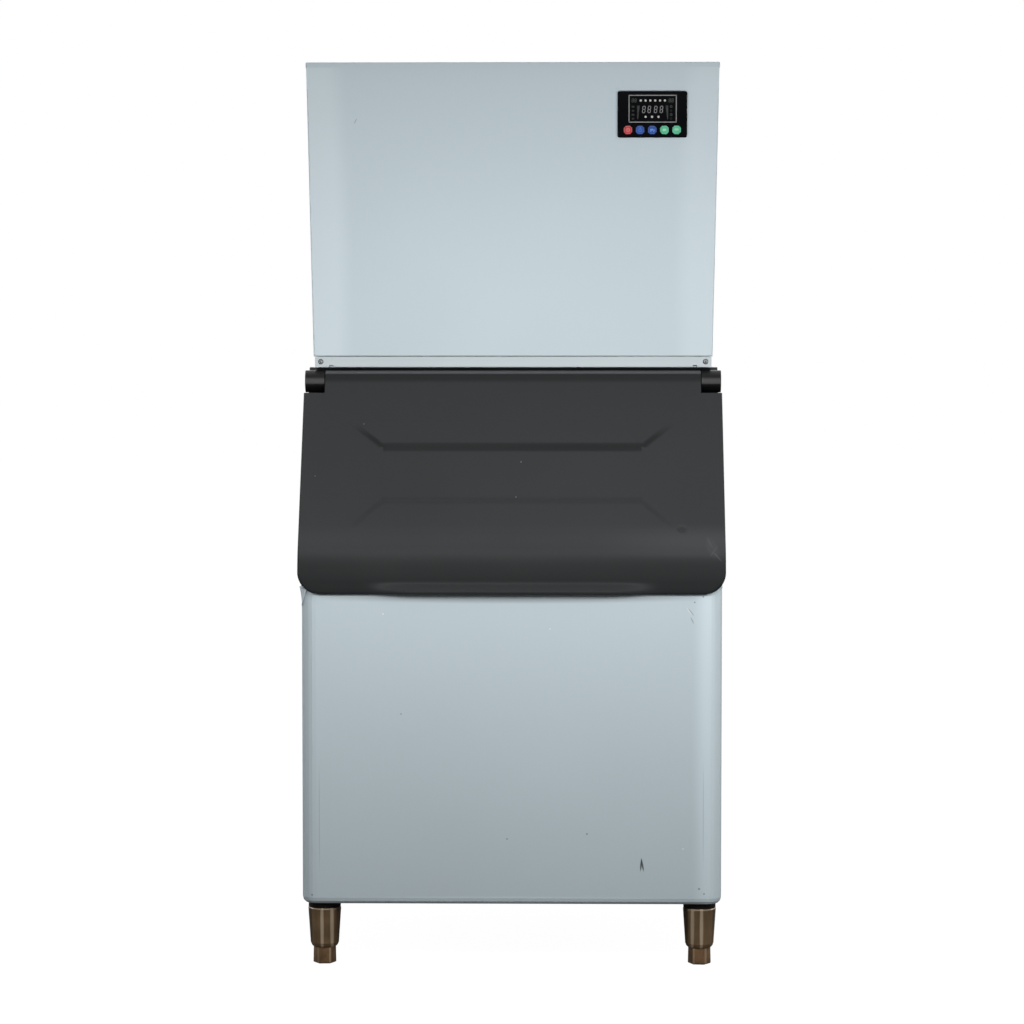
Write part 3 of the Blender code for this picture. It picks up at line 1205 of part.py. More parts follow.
auger = add_part("auger", rod((EVAPORATOR_X, EVAPORATOR_Y, GEARBOX_RIM_Z + 0.001),
                              (EVAPORATOR_X, EVAPORATOR_Y, BARREL_TOP_Z + 0.016), AUGER_SHAFT_RADIUS, 12),
                 "stainless")
flight = helix_flight(AUGER_SHAFT_RADIUS - 0.003, AUGER_RADIUS, AUGER_FLIGHT, AUGER_FOOT_Z, AUGER_TURNS,
                      AUGER_PITCH, 12)
bmesh.ops.translate(flight, vec=(EVAPORATOR_X, EVAPORATOR_Y, 0), verts=flight.verts)
join(auger, "auger_flight", flight)
join(auger, "auger_journal", rod((EVAPORATOR_X, EVAPORATOR_Y, GEARBOX_FLOOR_Z - 0.0015),
                                 (EVAPORATOR_X, EVAPORATOR_Y, GEARBOX_RIM_Z + 0.003), 0.010, 12))
hang(auger, auger_axis)

# Spout: a closed channel from the barrel's mouth to the chute
SPOUT_FOOT_Z = BARREL_TOP_Z + GAP
SPOUT_HEIGHT = 0.085
SPOUT_WALL = 0.003
SPOUT_LEDGE = 0.012
SPOUT_HALF = CHUTE_WIDTH / 2
spout_outline = rectangle(DROP_X - SPOUT_HALF, EVAPORATOR_X + BARREL_FLANGE, DROP_Y - SPOUT_HALF,
                          DROP_Y + SPOUT_HALF, 0.020)
spout_top = SPOUT_FOOT_Z + SPOUT_HEIGHT
spout = add_part("ice_spout", slab([spout_outline], SPOUT_FOOT_Z, spout_top), "white_plastic")
cut(spout, "spout_inside", slab([widened(spout_outline, -SPOUT_WALL)], SPOUT_FOOT_Z + SPOUT_WALL,
                                spout_top - SPOUT_WALL))
cut(spout, "spout_intake", rod((EVAPORATOR_X, DROP_Y, SPOUT_FOOT_Z - 0.01),
                               (EVAPORATOR_X, DROP_Y, SPOUT_FOOT_Z + 0.01), BARREL_BORE, 24))
SPOUT_DROP = CHUTE_WIDTH / 2 - SPOUT_LEDGE
cut(spout, "spout_outlet", slab([square(DROP_X, DROP_Y, SPOUT_DROP, 0)], SPOUT_FOOT_Z - 0.01,
                                SPOUT_FOOT_Z + 0.01))

# Chute: a square duct from the spout down through the tray and the deck into the bin
CHUTE_HALF = CHUTE_WIDTH / 2 - CHUTE_CLEARANCE
chute = add_part("ice_chute", slab([square(DROP_X, DROP_Y, CHUTE_HALF, 0.010),
                                    square(DROP_X, DROP_Y, CHUTE_HALF - CHUTE_WALL, 0.007)],
                                   LINER_TOP - CHUTE_REACH, SPOUT_FOOT_Z - GAP), "white_plastic")
join(chute, "chute_collar", slab([square(DROP_X, DROP_Y, CHUTE_HALF + CHUTE_COLLAR, 0.012),
                                  square(DROP_X, DROP_Y, CHUTE_HALF - 0.001, 0.008)],
                                 tray_floor + GAP, tray_floor + GAP + CHUTE_WALL))

# Refrigeration: compressor, condenser, shroud, fan and its motor, and the refrigerant lines
FAN_BAY = 0.098
CONDENSER_REAR_Y = REAR_PANEL_OUT - SHEET - FAN_BAY
CONDENSER_FRONT_Y = CONDENSER_REAR_Y - CONDENSER_DEPTH
LINE_Y = (CONDENSER_FRONT_Y + CONDENSER_REAR_Y) / 2
COMPRESSOR_Y = LINE_Y
COMPRESSOR_FOOT_Z = tray_floor + GAP
compressor_top = COMPRESSOR_FOOT_Z + COMPRESSOR_HEIGHT
compressor = add_part("compressor", turned([
    (0, compressor_top),
    (COMPRESSOR_RADIUS * 0.45, compressor_top - 0.004),
    (COMPRESSOR_RADIUS * 0.78, compressor_top - 0.018),
    (COMPRESSOR_RADIUS * 0.95, compressor_top - 0.042),
    (COMPRESSOR_RADIUS - 0.002, compressor_top - 0.075),
    (COMPRESSOR_RADIUS - 0.002, COMPRESSOR_FOOT_Z + 0.104),
    (COMPRESSOR_RADIUS, COMPRESSOR_FOOT_Z + 0.102),
    (COMPRESSOR_RADIUS, COMPRESSOR_FOOT_Z + 0.092),
    (COMPRESSOR_RADIUS - 0.004, COMPRESSOR_FOOT_Z + 0.050),
    (COMPRESSOR_RADIUS * 0.80, COMPRESSOR_FOOT_Z + 0.022),
    (COMPRESSOR_RADIUS * 0.40, COMPRESSOR_FOOT_Z + 0.012),
    (0, COMPRESSOR_FOOT_Z + 0.010),
], 18, (COMPRESSOR_X, COMPRESSOR_Y)), "black_paint")
FOOT_PLATE = 0.094
join(compressor, "compressor_plate", slab([rectangle(COMPRESSOR_X - FOOT_PLATE, COMPRESSOR_X + FOOT_PLATE,
                                                     COMPRESSOR_Y - FOOT_PLATE * 0.75,
                                                     COMPRESSOR_Y + FOOT_PLATE * 0.75, 0.016, 3)],
                                          COMPRESSOR_FOOT_Z + 0.009, COMPRESSOR_FOOT_Z + 0.014))
for index, (a, b) in enumerate(((-1, -1), (1, -1), (1, 1), (-1, 1))):
    x = COMPRESSOR_X + a * (FOOT_PLATE - 0.017)
    y = COMPRESSOR_Y + b * (FOOT_PLATE * 0.75 - 0.017)
    join(compressor, "compressor_mount_%d" % index, rod((x, y, COMPRESSOR_FOOT_Z),
                                                        (x, y, COMPRESSOR_FOOT_Z + 0.011), 0.011, 8))

# Condenser: a comb of fins between two end plates that stand on the tray
CONDENSER_LOW_Z = FAN_Z - CONDENSER_SIZE / 2
CONDENSER_HIGH_Z = FAN_Z + CONDENSER_SIZE / 2
FINS = 14
FIN_BORDER = 0.006
FIN_CUT = 0.015
HEADER = 0.010
STAND_SHEET = 0.002
fin_pitch = (CONDENSER_SIZE - 2 * FIN_BORDER) / FINS
condenser = add_part("condenser", block((FAN_X - CONDENSER_SIZE / 2, CONDENSER_FRONT_Y, CONDENSER_LOW_Z),
                                        (FAN_X + CONDENSER_SIZE / 2, CONDENSER_REAR_Y, CONDENSER_HIGH_Z)),
                     "aluminium")
gaps = []
for index in range(FINS):
    x = FAN_X - CONDENSER_SIZE / 2 + FIN_BORDER + (index + 0.5) * fin_pitch
    for low, high in ((CONDENSER_FRONT_Y - FIN_CUT, CONDENSER_FRONT_Y + FIN_CUT),
                      (CONDENSER_REAR_Y - FIN_CUT, CONDENSER_REAR_Y + FIN_CUT)):
        gaps.append(block((x - fin_pitch * 0.32, low, CONDENSER_LOW_Z + HEADER),
                          (x + fin_pitch * 0.32, high, CONDENSER_HIGH_Z - HEADER)))
cut(condenser, "fin_gaps", merged(*gaps))
for side, sign in SIDES:
    stand_x = FAN_X + sign * CONDENSER_SIZE / 2
    join(condenser, "condenser_stand_" + side, block(
        (stand_x - STAND_SHEET, CONDENSER_FRONT_Y - STAND_SHEET, tray_floor + GAP),
        (stand_x + STAND_SHEET, CONDENSER_REAR_Y - STAND_SHEET, CONDENSER_HIGH_Z)))

# Shroud: a moulded hood behind the condenser, with a ring round the fan
SHROUD_FRONT_Y = CONDENSER_REAR_Y + GAP
FAN_STANDOFF = 0.040
FAN_Y = SHROUD_FRONT_Y + FAN_STANDOFF
SHROUD_REAR_Y = FAN_Y + FAN_DEPTH * 0.7
SHROUD_WALL = 0.0025
HOOD_STOP = 0.006
SHAFT_END = 0.020
half = CONDENSER_SIZE / 2
hood_rear_y = FAN_Y - HOOD_STOP
hood_outline = square(FAN_X, FAN_Z, half, 0.010, 2)
shroud = add_part("fan_shroud", slab([hood_outline], SHROUD_FRONT_Y, hood_rear_y, "XZ"), "black_plastic")
cut(shroud, "shroud_inside", slab([square(FAN_X, FAN_Z, half - SHROUD_WALL, 0.008, 2)],
                                  SHROUD_FRONT_Y - 0.01, hood_rear_y - SHROUD_WALL, "XZ"))
ring_inner = FAN_RADIUS + FAN_TIP_GAP
join(shroud, "shroud_ring", rod((FAN_X, hood_rear_y - 0.001, FAN_Z), (FAN_X, SHROUD_REAR_Y, FAN_Z),
                                ring_inner + SHROUD_WALL, 28))
cut(shroud, "shroud_throat", rod((FAN_X, SHROUD_FRONT_Y + FAN_STANDOFF / 4, FAN_Z),
                                 (FAN_X, SHROUD_REAR_Y + 0.01, FAN_Z), ring_inner, 28))

fan_axis = empty("fan_axis", (FAN_X, FAN_Y, FAN_Z))
HUB_RADIUS = 0.028
BLADES = 5
BLADE_ROOT = 0.004
BLADE_RISE = 0.0095
BLADE_SHEET = 0.0016
SHAFT_RADIUS = 0.004
fan = add_part("condenser_fan", rod((0, -FAN_DEPTH / 2, 0), (0, FAN_DEPTH / 2, 0), HUB_RADIUS, 25),
               "aluminium")


def fan_blade(angle):
    """One pitched blade: a grid swept from the hub to the tip, flatter at the tip, then thickened."""
    bm = bmesh.new()
    bmesh.ops.create_grid(bm, x_segments=3, y_segments=3, size=0.5)
    for vert in bm.verts:
        reach = HUB_RADIUS - BLADE_ROOT + (vert.co.x + 0.5) * (FAN_RADIUS - HUB_RADIUS + BLADE_ROOT)
        spread = math.radians(50) * vert.co.y * (0.72 + 0.28 * (vert.co.x + 0.5))
        pitch = math.radians(34 - 14 * (vert.co.x + 0.5))
        across = reach * math.sin(spread)
        rise = max(-BLADE_RISE, min(BLADE_RISE, math.tan(pitch) * across * 0.42))
        vert.co = Vector((reach * math.cos(spread), rise, across))
    bmesh.ops.solidify(bm, geom=bm.faces, thickness=BLADE_SHEET)
    bmesh.ops.rotate(bm, matrix=Matrix.Rotation(angle, 3, 'Y'), verts=bm.verts)
    return bm


for index in range(BLADES):
    join(fan, "fan_blade_%d" % index, fan_blade(2 * math.pi * index / BLADES))
join(fan, "fan_shaft", rod((0, 0, 0), (0, SHAFT_END, 0), SHAFT_RADIUS, 12))
seat_in(fan, fan_axis)

MOTOR_FRONT_Y = FAN_Y + 0.014
FAN_MOTOR_RADIUS = 0.036
ARM_SHEET = 0.003
ARM_WIDTH = 0.016
ARM_INNER = 0.020
motor_rear = REAR_PANEL_OUT - SHEET - 2 * ARM_SHEET
fan_motor = add_part("fan_motor", turned([
    (0, -MOTOR_FRONT_Y),
    (FAN_MOTOR_RADIUS - 0.006, -MOTOR_FRONT_Y),
    (FAN_MOTOR_RADIUS, -MOTOR_FRONT_Y - 0.006),
    (FAN_MOTOR_RADIUS, -motor_rear),
    (0, -motor_rear),
], 22, (FAN_X, 0, FAN_Z), 'Y'), "cast_metal")
cut(fan_motor, "fan_motor_bore", rod((FAN_X, MOTOR_FRONT_Y - 0.01, FAN_Z),
                                     (FAN_X, MOTOR_FRONT_Y + 0.010, FAN_Z), SHAFT_RADIUS + GAP, 12))
ARM_REACH = FAN_RADIUS + 0.012
for index in range(3):
    angle = math.radians(90 + 120 * index)
    arm = block((ARM_INNER, motor_rear - ARM_SHEET, -ARM_WIDTH / 2),
                (ARM_REACH, REAR_PANEL_OUT - SHEET - GAP, ARM_WIDTH / 2))
    bmesh.ops.rotate(arm, matrix=Matrix.Rotation(angle, 3, 'Y'), verts=arm.verts)
    bmesh.ops.translate(arm, vec=(FAN_X, 0, FAN_Z), verts=arm.verts)
    join(fan_motor, "fan_motor_arm_%d" % index, arm)

STUB_X = 0.035
STUB_RISE = 0.012
STUB_TOP_Z = compressor_top + STUB_RISE
for name, x in (("suction_stub", COMPRESSOR_X - STUB_X), ("discharge_stub", COMPRESSOR_X + STUB_X)):
    join(compressor, name, rod((x, COMPRESSOR_Y, compressor_top - 0.020), (x, COMPRESSOR_Y, STUB_TOP_Z),
                               0.007, 8))
BEND = 0.014
CONDENSER_SIDE_X = FAN_X - CONDENSER_SIZE / 2 - STAND_SHEET
BARREL_SIDE_Y = EVAPORATOR_Y + BARREL_RADIUS
DISCHARGE_RISE = 0.050
DISCHARGE_Z = STUB_TOP_Z + DISCHARGE_RISE
SUCTION_DROP = 0.035
SUCTION_Z = BARREL_TOP_Z - SUCTION_DROP
LINE_SPACE = 0.035
SUCTION_Y = DROP_Y + CHUTE_WIDTH / 2 + LINE_SPACE
tube("discharge_line", bent([
    (COMPRESSOR_X + STUB_X, COMPRESSOR_Y, STUB_TOP_Z + GAP),
    (COMPRESSOR_X + STUB_X, COMPRESSOR_Y, DISCHARGE_Z),
    (CONDENSER_SIDE_X - GAP, LINE_Y, DISCHARGE_Z),
], BEND), LINE_RADIUS, "copper")
tube("suction_line", bent([
    (EVAPORATOR_X, BARREL_SIDE_Y + GAP, SUCTION_Z),
    (EVAPORATOR_X, SUCTION_Y, SUCTION_Z),
    (COMPRESSOR_X - STUB_X, SUCTION_Y, SUCTION_Z),
    (COMPRESSOR_X - STUB_X, COMPRESSOR_Y, SUCTION_Z),
    (COMPRESSOR_X - STUB_X, COMPRESSOR_Y, STUB_TOP_Z + GAP),
], BEND), LINE_RADIUS + 0.001, "copper")
LIQUID_SPACE = 0.040
LIQUID_HIGH_Z = DISCHARGE_Z + LIQUID_SPACE
LIQUID_RISE = 0.045
LIQUID_LOW_Z = BARREL_FOOT_Z + LIQUID_RISE
LIQUID_X = CONDENSER_SIDE_X - LIQUID_SPACE
LIQUID_Y = SUCTION_Y + LIQUID_SPACE / 2
liquid = tube("liquid_line", bent([
    (CONDENSER_SIDE_X - GAP, LINE_Y, LIQUID_HIGH_Z),
    (LIQUID_X, LINE_Y, LIQUID_HIGH_Z),
    (LIQUID_X, LIQUID_Y, LIQUID_HIGH_Z),
    (LIQUID_X, LIQUID_Y, LIQUID_LOW_Z),
    (EVAPORATOR_X, LIQUID_Y, LIQUID_LOW_Z),
    (EVAPORATOR_X, BARREL_SIDE_Y + GAP, LIQUID_LOW_Z),
], BEND), LINE_RADIUS - 0.001, "copper")


def as_mesh(pipe):
    """The pipe's curve made a mesh with its caps welded, so that it can be joined to a body."""
    bpy.context.view_layer.update()
    mesh = bpy.data.meshes.new_from_object(pipe.evaluated_get(bpy.context.evaluated_depsgraph_get()))
    bm = bmesh.new()
    bm.from_mesh(mesh)
    bpy.data.meshes.remove(mesh)
    solid = bpy.data.objects.new(pipe.name + "_solid", to_mesh(bm, pipe.name))
    solid.matrix_world = pipe.matrix_world
    solid.data.materials.append(pipe.data.materials[0])
    name = pipe.name
    bpy.data.objects.remove(pipe, do_unlink=True)
    solid.name = name
    PARTS.objects.link(solid)
    return solid


liquid = as_mesh(liquid)
DRIER_RADIUS = 0.012
DRIER_LENGTH = 0.080
drier_middle = (LIQUID_LOW_Z + LIQUID_HIGH_Z) / 2
join(liquid, "drier", rod((LIQUID_X, LIQUID_Y, drier_middle - DRIER_LENGTH / 2),
                          (LIQUID_X, LIQUID_Y, drier_middle + DRIER_LENGTH / 2), DRIER_RADIUS, 12))

# Water: bracket, reservoir, feed line with its valve, float arm and inlet
WATER_DEPTH = 0.055
RESERVOIR_LOW_Z = WATER_LEVEL_Z - WATER_DEPTH
RESERVOIR_RIM_Z = RESERVOIR_LOW_Z + RESERVOIR_DEPTH
RES_WEST = RESERVOIR_X - RESERVOIR_WIDTH / 2
RES_EAST = RESERVOIR_X + RESERVOIR_WIDTH / 2
RES_FRONT = RESERVOIR_Y - RESERVOIR_LENGTH / 2
RES_REAR = RESERVOIR_Y + RESERVOIR_LENGTH / 2
BRACKET_SHEET = 0.002
BRACKET_FOOT = 0.045
BRACKET_MARGIN = 0.012
BRACKET_X = RES_WEST - 0.008
bracket_top = RESERVOIR_LOW_Z - GAP
add_part("reservoir_bracket", slab([[
    (BRACKET_X, tray_floor + GAP),
    (BRACKET_X + BRACKET_FOOT, tray_floor + GAP),
    (BRACKET_X + BRACKET_FOOT, tray_floor + GAP + BRACKET_SHEET),
    (BRACKET_X + BRACKET_SHEET, tray_floor + GAP + BRACKET_SHEET),
    (BRACKET_X + BRACKET_SHEET, bracket_top - BRACKET_SHEET),
    (RES_EAST - BRACKET_MARGIN, bracket_top - BRACKET_SHEET),
    (RES_EAST - BRACKET_MARGIN, bracket_top),
    (BRACKET_X, bracket_top),
]], RES_FRONT + BRACKET_MARGIN, RES_REAR - BRACKET_MARGIN, "XZ"), "galvanised")
reservoir = add_part("water_reservoir", slab([rectangle(RES_WEST, RES_EAST, RES_FRONT, RES_REAR, 0.010, 3)],
                                             RESERVOIR_LOW_Z, RESERVOIR_RIM_Z), "white_plastic")
cut(reservoir, "reservoir_inside", slab([rectangle(RES_WEST + RESERVOIR_WALL, RES_EAST - RESERVOIR_WALL,
                                                   RES_FRONT + RESERVOIR_WALL, RES_REAR - RESERVOIR_WALL,
                                                   0.007, 3)],
                                        RESERVOIR_LOW_Z + RESERVOIR_WALL, RESERVOIR_RIM_Z + 0.01))

PIVOT_Y = RES_REAR - 0.016
PIVOT_Z = WATER_LEVEL_Z + 0.010
PIVOT_PIN = 0.002
VALVE_HEIGHT = 0.020
VALVE_FOOT_Z = RESERVOIR_RIM_Z + GAP
VALVE_TOP_Z = VALVE_FOOT_Z + VALVE_HEIGHT
FEED_RISE = 0.022
FEED_Z = VALVE_TOP_Z + FEED_RISE
FEED_SIDE = 0.030
FEED_X = LEFT_WALL_X + FEED_SIDE
INLET_DEPTH = 0.020
FEED_END_Y = REAR_PANEL_OUT - INLET_DEPTH
FEED_REAR_Y = FEED_END_Y - 0.025
VALVE_Y = RES_REAR - 0.007
feed = as_mesh(tube("feed_line", bent([
    (WATER_PORT[0], FEED_END_Y, WATER_PORT[1]),
    (WATER_PORT[0], FEED_REAR_Y, WATER_PORT[1]),
    (FEED_X, FEED_REAR_Y, WATER_PORT[1]),
    (FEED_X, FEED_REAR_Y, FEED_Z),
    (FEED_X, VALVE_Y, FEED_Z),
    (RESERVOIR_X, VALVE_Y, FEED_Z),
    (RESERVOIR_X, VALVE_Y, VALVE_TOP_Z - 0.004),
], 0.010), LINE_RADIUS - 0.001, "brass"))
join(feed, "valve_block", block((RESERVOIR_X - 0.012, PIVOT_Y - 0.005, VALVE_FOOT_Z),
                                (RESERVOIR_X + 0.012, RES_REAR + 0.001, VALVE_TOP_Z)))
for side, sign in SIDES:
    ends = sorted((sign * 0.008, sign * 0.011))
    join(feed, "valve_ear_" + side, block((RESERVOIR_X + ends[0], PIVOT_Y - 0.005, PIVOT_Z - 0.005),
                                          (RESERVOIR_X + ends[1], PIVOT_Y + 0.005, VALVE_FOOT_Z + 0.002)))
join(feed, "valve_pin", rod((RESERVOIR_X - 0.010, PIVOT_Y, PIVOT_Z), (RESERVOIR_X + 0.010, PIVOT_Y, PIVOT_Z),
                            PIVOT_PIN, 12))

float_pivot = empty("float_pivot", (RESERVOIR_X, PIVOT_Y, PIVOT_Z))
FLOAT_LENGTH = 0.050
float_front = RES_FRONT + RESERVOIR_WALL + 0.016
arm_part = add_part("float_arm", rod((-0.0065, 0, 0), (0.0065, 0, 0), 0.0055, 12), "white_plastic")
float_low = float_front - PIVOT_Y
join(arm_part, "float_bar", block((-0.003, float_low + FLOAT_LENGTH / 2, -0.004), (0.003, -0.003, 0.0)))
join(arm_part, "float_body", slab([rectangle(-0.026, 0.026, float_low, float_low + FLOAT_LENGTH, 0.010, 3)],
                                  -0.024, -0.002))
cut(arm_part, "float_bore", rod((-0.02, 0, 0), (0.02, 0, 0), PIVOT_PIN + GAP, 12))
seat_in(arm_part, float_pivot)

REAR_REACH_Y = REAR_Y + FITTING_REACH
add_part("water_inlet", turned([
    (0.0045, -FEED_END_Y - GAP),
    (0.0095, -FEED_END_Y - GAP),
    (WATER_PORT_RADIUS, -FEED_END_Y - 0.004),
    (WATER_PORT_RADIUS, -REAR_PANEL_OUT - GAP),
    (0.0145, -REAR_PANEL_OUT - GAP),
    (0.0145, -REAR_PANEL_OUT - 0.006),
    (WATER_PORT_RADIUS, -REAR_PANEL_OUT - 0.007),
    (WATER_PORT_RADIUS, -REAR_REACH_Y),
    (0.0060, -REAR_REACH_Y),
    (0.0045, -FEED_END_Y - 0.010),
], 12, (WATER_PORT[0], 0, WATER_PORT[1]), 'Y'), "brass")
gland_inner = REAR_PANEL_OUT - SHEET - GAP
add_part("cable_gland", turned([
    (0.0045, -gland_inner + 0.010),
    (GLAND_RADIUS, -gland_inner + 0.010),
    (GLAND_RADIUS, -REAR_PANEL_OUT - GAP),
    (0.0135, -REAR_PANEL_OUT - GAP),
    (0.0135, -REAR_PANEL_OUT - 0.007),
    (0.0105, -REAR_PANEL_OUT - 0.010),
    (0.0080, -REAR_REACH_Y + 0.003),
    (0.0045, -REAR_REACH_Y + 0.003),
], 12, (GLAND_PORT[0], 0, GLAND_PORT[1]), 'Y'), "black_plastic")

# Electrical box on the tray, with its cover
BOX_WIDTH = 0.150
BOX_DEPTH = 0.083
BOX_HEIGHT = 0.160
BOX_SPACE = 0.025
BOX_HIGH = (RIGHT_WALL_X - BOX_SPACE - 0.008, PANEL_Y + BOX_SPACE + BOX_DEPTH)
BOX_LOW = (BOX_HIGH[0] - BOX_WIDTH, BOX_HIGH[1] - BOX_DEPTH)
box_outline = rectangle(BOX_LOW[0], BOX_HIGH[0], BOX_LOW[1], BOX_HIGH[1], 0.004, 2)
electrical = add_part("electrical_box", slab([box_outline], tray_floor + GAP, tray_floor + GAP + BOX_HEIGHT),
                      "galvanised")
join(electrical, "box_cover", slab([widened(box_outline, 0.002)], tray_floor + BOX_HEIGHT - 0.014,
                                   tray_floor + BOX_HEIGHT + 0.002))
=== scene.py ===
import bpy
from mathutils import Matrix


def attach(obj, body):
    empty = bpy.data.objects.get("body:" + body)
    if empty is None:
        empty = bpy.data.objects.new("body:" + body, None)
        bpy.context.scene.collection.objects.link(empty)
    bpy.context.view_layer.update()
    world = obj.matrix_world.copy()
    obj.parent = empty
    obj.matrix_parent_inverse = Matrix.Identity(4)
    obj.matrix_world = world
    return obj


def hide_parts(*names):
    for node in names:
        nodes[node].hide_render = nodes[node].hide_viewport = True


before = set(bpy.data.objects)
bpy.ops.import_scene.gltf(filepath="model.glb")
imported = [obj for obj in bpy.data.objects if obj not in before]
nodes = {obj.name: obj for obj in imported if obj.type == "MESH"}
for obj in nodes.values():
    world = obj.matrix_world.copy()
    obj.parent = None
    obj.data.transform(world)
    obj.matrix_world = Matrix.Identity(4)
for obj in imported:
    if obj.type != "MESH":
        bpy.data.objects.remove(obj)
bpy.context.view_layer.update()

import math

import bmesh
import bpy
from mathutils import Matrix, Vector

# Camera: a long lens at a little over a metre's height, which looks slightly down. It stands square to
# the front and a hand's breadth to its right.
eye = bpy.data.objects.new("studio_camera", bpy.data.cameras.new("studio_camera"))
bpy.context.scene.collection.objects.link(eye)
eye.data.sensor_width = 36.0
eye.data.lens = 107.7
eye.location = (0.09, -5.885, 1.080)
eye.rotation_euler = (math.radians(90 - 2.655), 0, math.radians(0.928))
bpy.context.scene.camera = eye
bpy.context.scene.view_settings.view_transform = 'Standard'


# Studio: a white paper floor that keeps a faint shadow, and soft lamps all round. The white room is bright
# where it is seen or mirrored and dim in the light that it casts.
def add_node(tree, kind, wires=None, **settings):
    """A shader node with its settings. A wire gives an input a value or another node's output."""
    node = tree.nodes.new("ShaderNode" + kind)
    for label, value in settings.items():
        setattr(node, label, value)
    for label, source in (wires or {}).items():
        if isinstance(source, bpy.types.NodeSocket):
            tree.links.new(source, node.inputs[label])
        else:
            node.inputs[label].default_value = source
    return node


cast_light, seen_light = 0.14, 1.0
room = bpy.data.worlds.new("white_room")
bpy.context.scene.world = room
room.use_nodes = True
tree = room.node_tree
rays = add_node(tree, "LightPath").outputs
mirrored = add_node(tree, "Math", {0: rays["Is Glossy Ray"], 1: rays["Is Transmission Ray"]},
                    operation='MAXIMUM')
seen = add_node(tree, "Math", {0: rays["Is Camera Ray"], 1: mirrored.outputs[0]}, operation='MAXIMUM')
level = add_node(tree, "MapRange", {"Value": seen.outputs[0], "To Min": cast_light, "To Max": seen_light})
sky = tree.nodes["Background"]
sky.inputs["Color"].default_value = (1, 1, 1, 1)
tree.links.new(level.outputs["Result"], sky.inputs["Strength"])

floor_size, floor_drop = 30.0, 0.0005
ground = bmesh.new()
bmesh.ops.create_grid(ground, x_segments=1, y_segments=1, size=floor_size)
bmesh.ops.translate(ground, vec=(0, 0, -floor_drop), verts=ground.verts)
floor_mesh = bpy.data.meshes.new("studio_floor")
ground.to_mesh(floor_mesh)
ground.free()
floor = bpy.data.objects.new("studio_floor", floor_mesh)
bpy.context.scene.collection.objects.link(floor)
glow_strength, glow_share = 1.40, 0.70
paper = bpy.data.materials.new("studio_paper")
paper.use_nodes = True
tree = paper.node_tree
matt = tree.nodes["Principled BSDF"]
matt.inputs["Base Color"].default_value = (0.18, 0.18, 0.18, 1)
matt.inputs["Roughness"].default_value = 0.9
glow = add_node(tree, "Emission", {"Strength": glow_strength})
to_camera = add_node(tree, "LightPath").outputs["Is Camera Ray"]
share = add_node(tree, "Math", {0: to_camera, 1: glow_share}, operation='MULTIPLY')
blend = add_node(tree, "MixShader", {0: share.outputs[0], 1: matt.outputs[0], 2: glow.outputs[0]})
tree.links.new(blend.outputs[0], tree.nodes["Material Output"].inputs["Surface"])
floor_mesh.materials.append(paper)


def soft_lamp(name, place, aim, width, height, watts):
    """A rectangular soft box at a place, facing a point."""
    lamp = bpy.data.lights.new(name, 'AREA')
    lamp.shape = 'RECTANGLE'
    lamp.size = width
    lamp.size_y = height
    lamp.energy = watts
    box = bpy.data.objects.new(name, lamp)
    box.location = place
    box.rotation_euler = (Vector(aim) - Vector(place)).to_track_quat('-Z', 'Y').to_euler()
    box.visible_camera = False
    bpy.context.scene.collection.objects.link(box)


soft_lamp("front_box", (0.30, -1.56, 1.03), (0.30, 0, 1.03), 2.8, 0.25, 20.0)
soft_lamp("right_box", (3.0, 0.7, 1.2), (0, 0, 0.8), 1.6, 2.0, 14.0)
soft_lamp("left_box", (-3.0, 1.6, 1.6), (0, 0, 1.1), 1.6, 2.0, 24.0)
soft_lamp("rear_box", (0.3, 3.0, 1.6), (0, 0, 0.9), 2.0, 2.0, 30.0)
soft_lamp("top_box", (0, 0.4, 4.0), (0, 0.2, 1.0), 2.6, 2.6, 26.0)


# Bin casing: one folded sheet of satin stainless steel, with a rounded corner at each side, and the
# galvanised sheets that close its back, its underside and its top. Small knocks and specks as found, with a
# painted shadow under the lid and painted highlights along the foot's fold and down the right corner.
def shared_group(name, inputs, outputs):
    """A shader node group with its named sockets, what it is given and what it puts out."""
    group = bpy.data.node_groups.new(name, "ShaderNodeTree")
    for label, kind, value in inputs:
        group.interface.new_socket(label, in_out='INPUT', socket_type=kind).default_value = value
    for label, kind in outputs:
        group.interface.new_socket(label, in_out='OUTPUT', socket_type=kind)
    return group, group.nodes.new("NodeGroupInput").outputs, group.nodes.new("NodeGroupOutput").inputs


grain, given, result = shared_group(
    "surface_grain",
    [("Place", "NodeSocketVector", (0, 0, 0)), ("Stretch", "NodeSocketVector", (1, 1, 1)),
     ("Grain Scale", "NodeSocketFloat", 300.0), ("Cloud Scale", "NodeSocketFloat", 5.0)],
    [("Grain", "NodeSocketFloat"), ("Clouds", "NodeSocketFloat")])
drawn = add_node(grain, "VectorMath", {0: given["Place"], 1: given["Stretch"]}, operation='MULTIPLY')
fine = add_node(grain, "TexNoise", {"Vector": drawn.outputs[0], "Scale": given["Grain Scale"], "Detail": 3.0})
broad = add_node(grain, "TexNoise", {"Vector": given["Place"], "Scale": given["Cloud Scale"], "Detail": 4.0})
grain.links.new(fine.outputs[0], result["Grain"])
grain.links.new(broad.outputs[0], result["Clouds"])

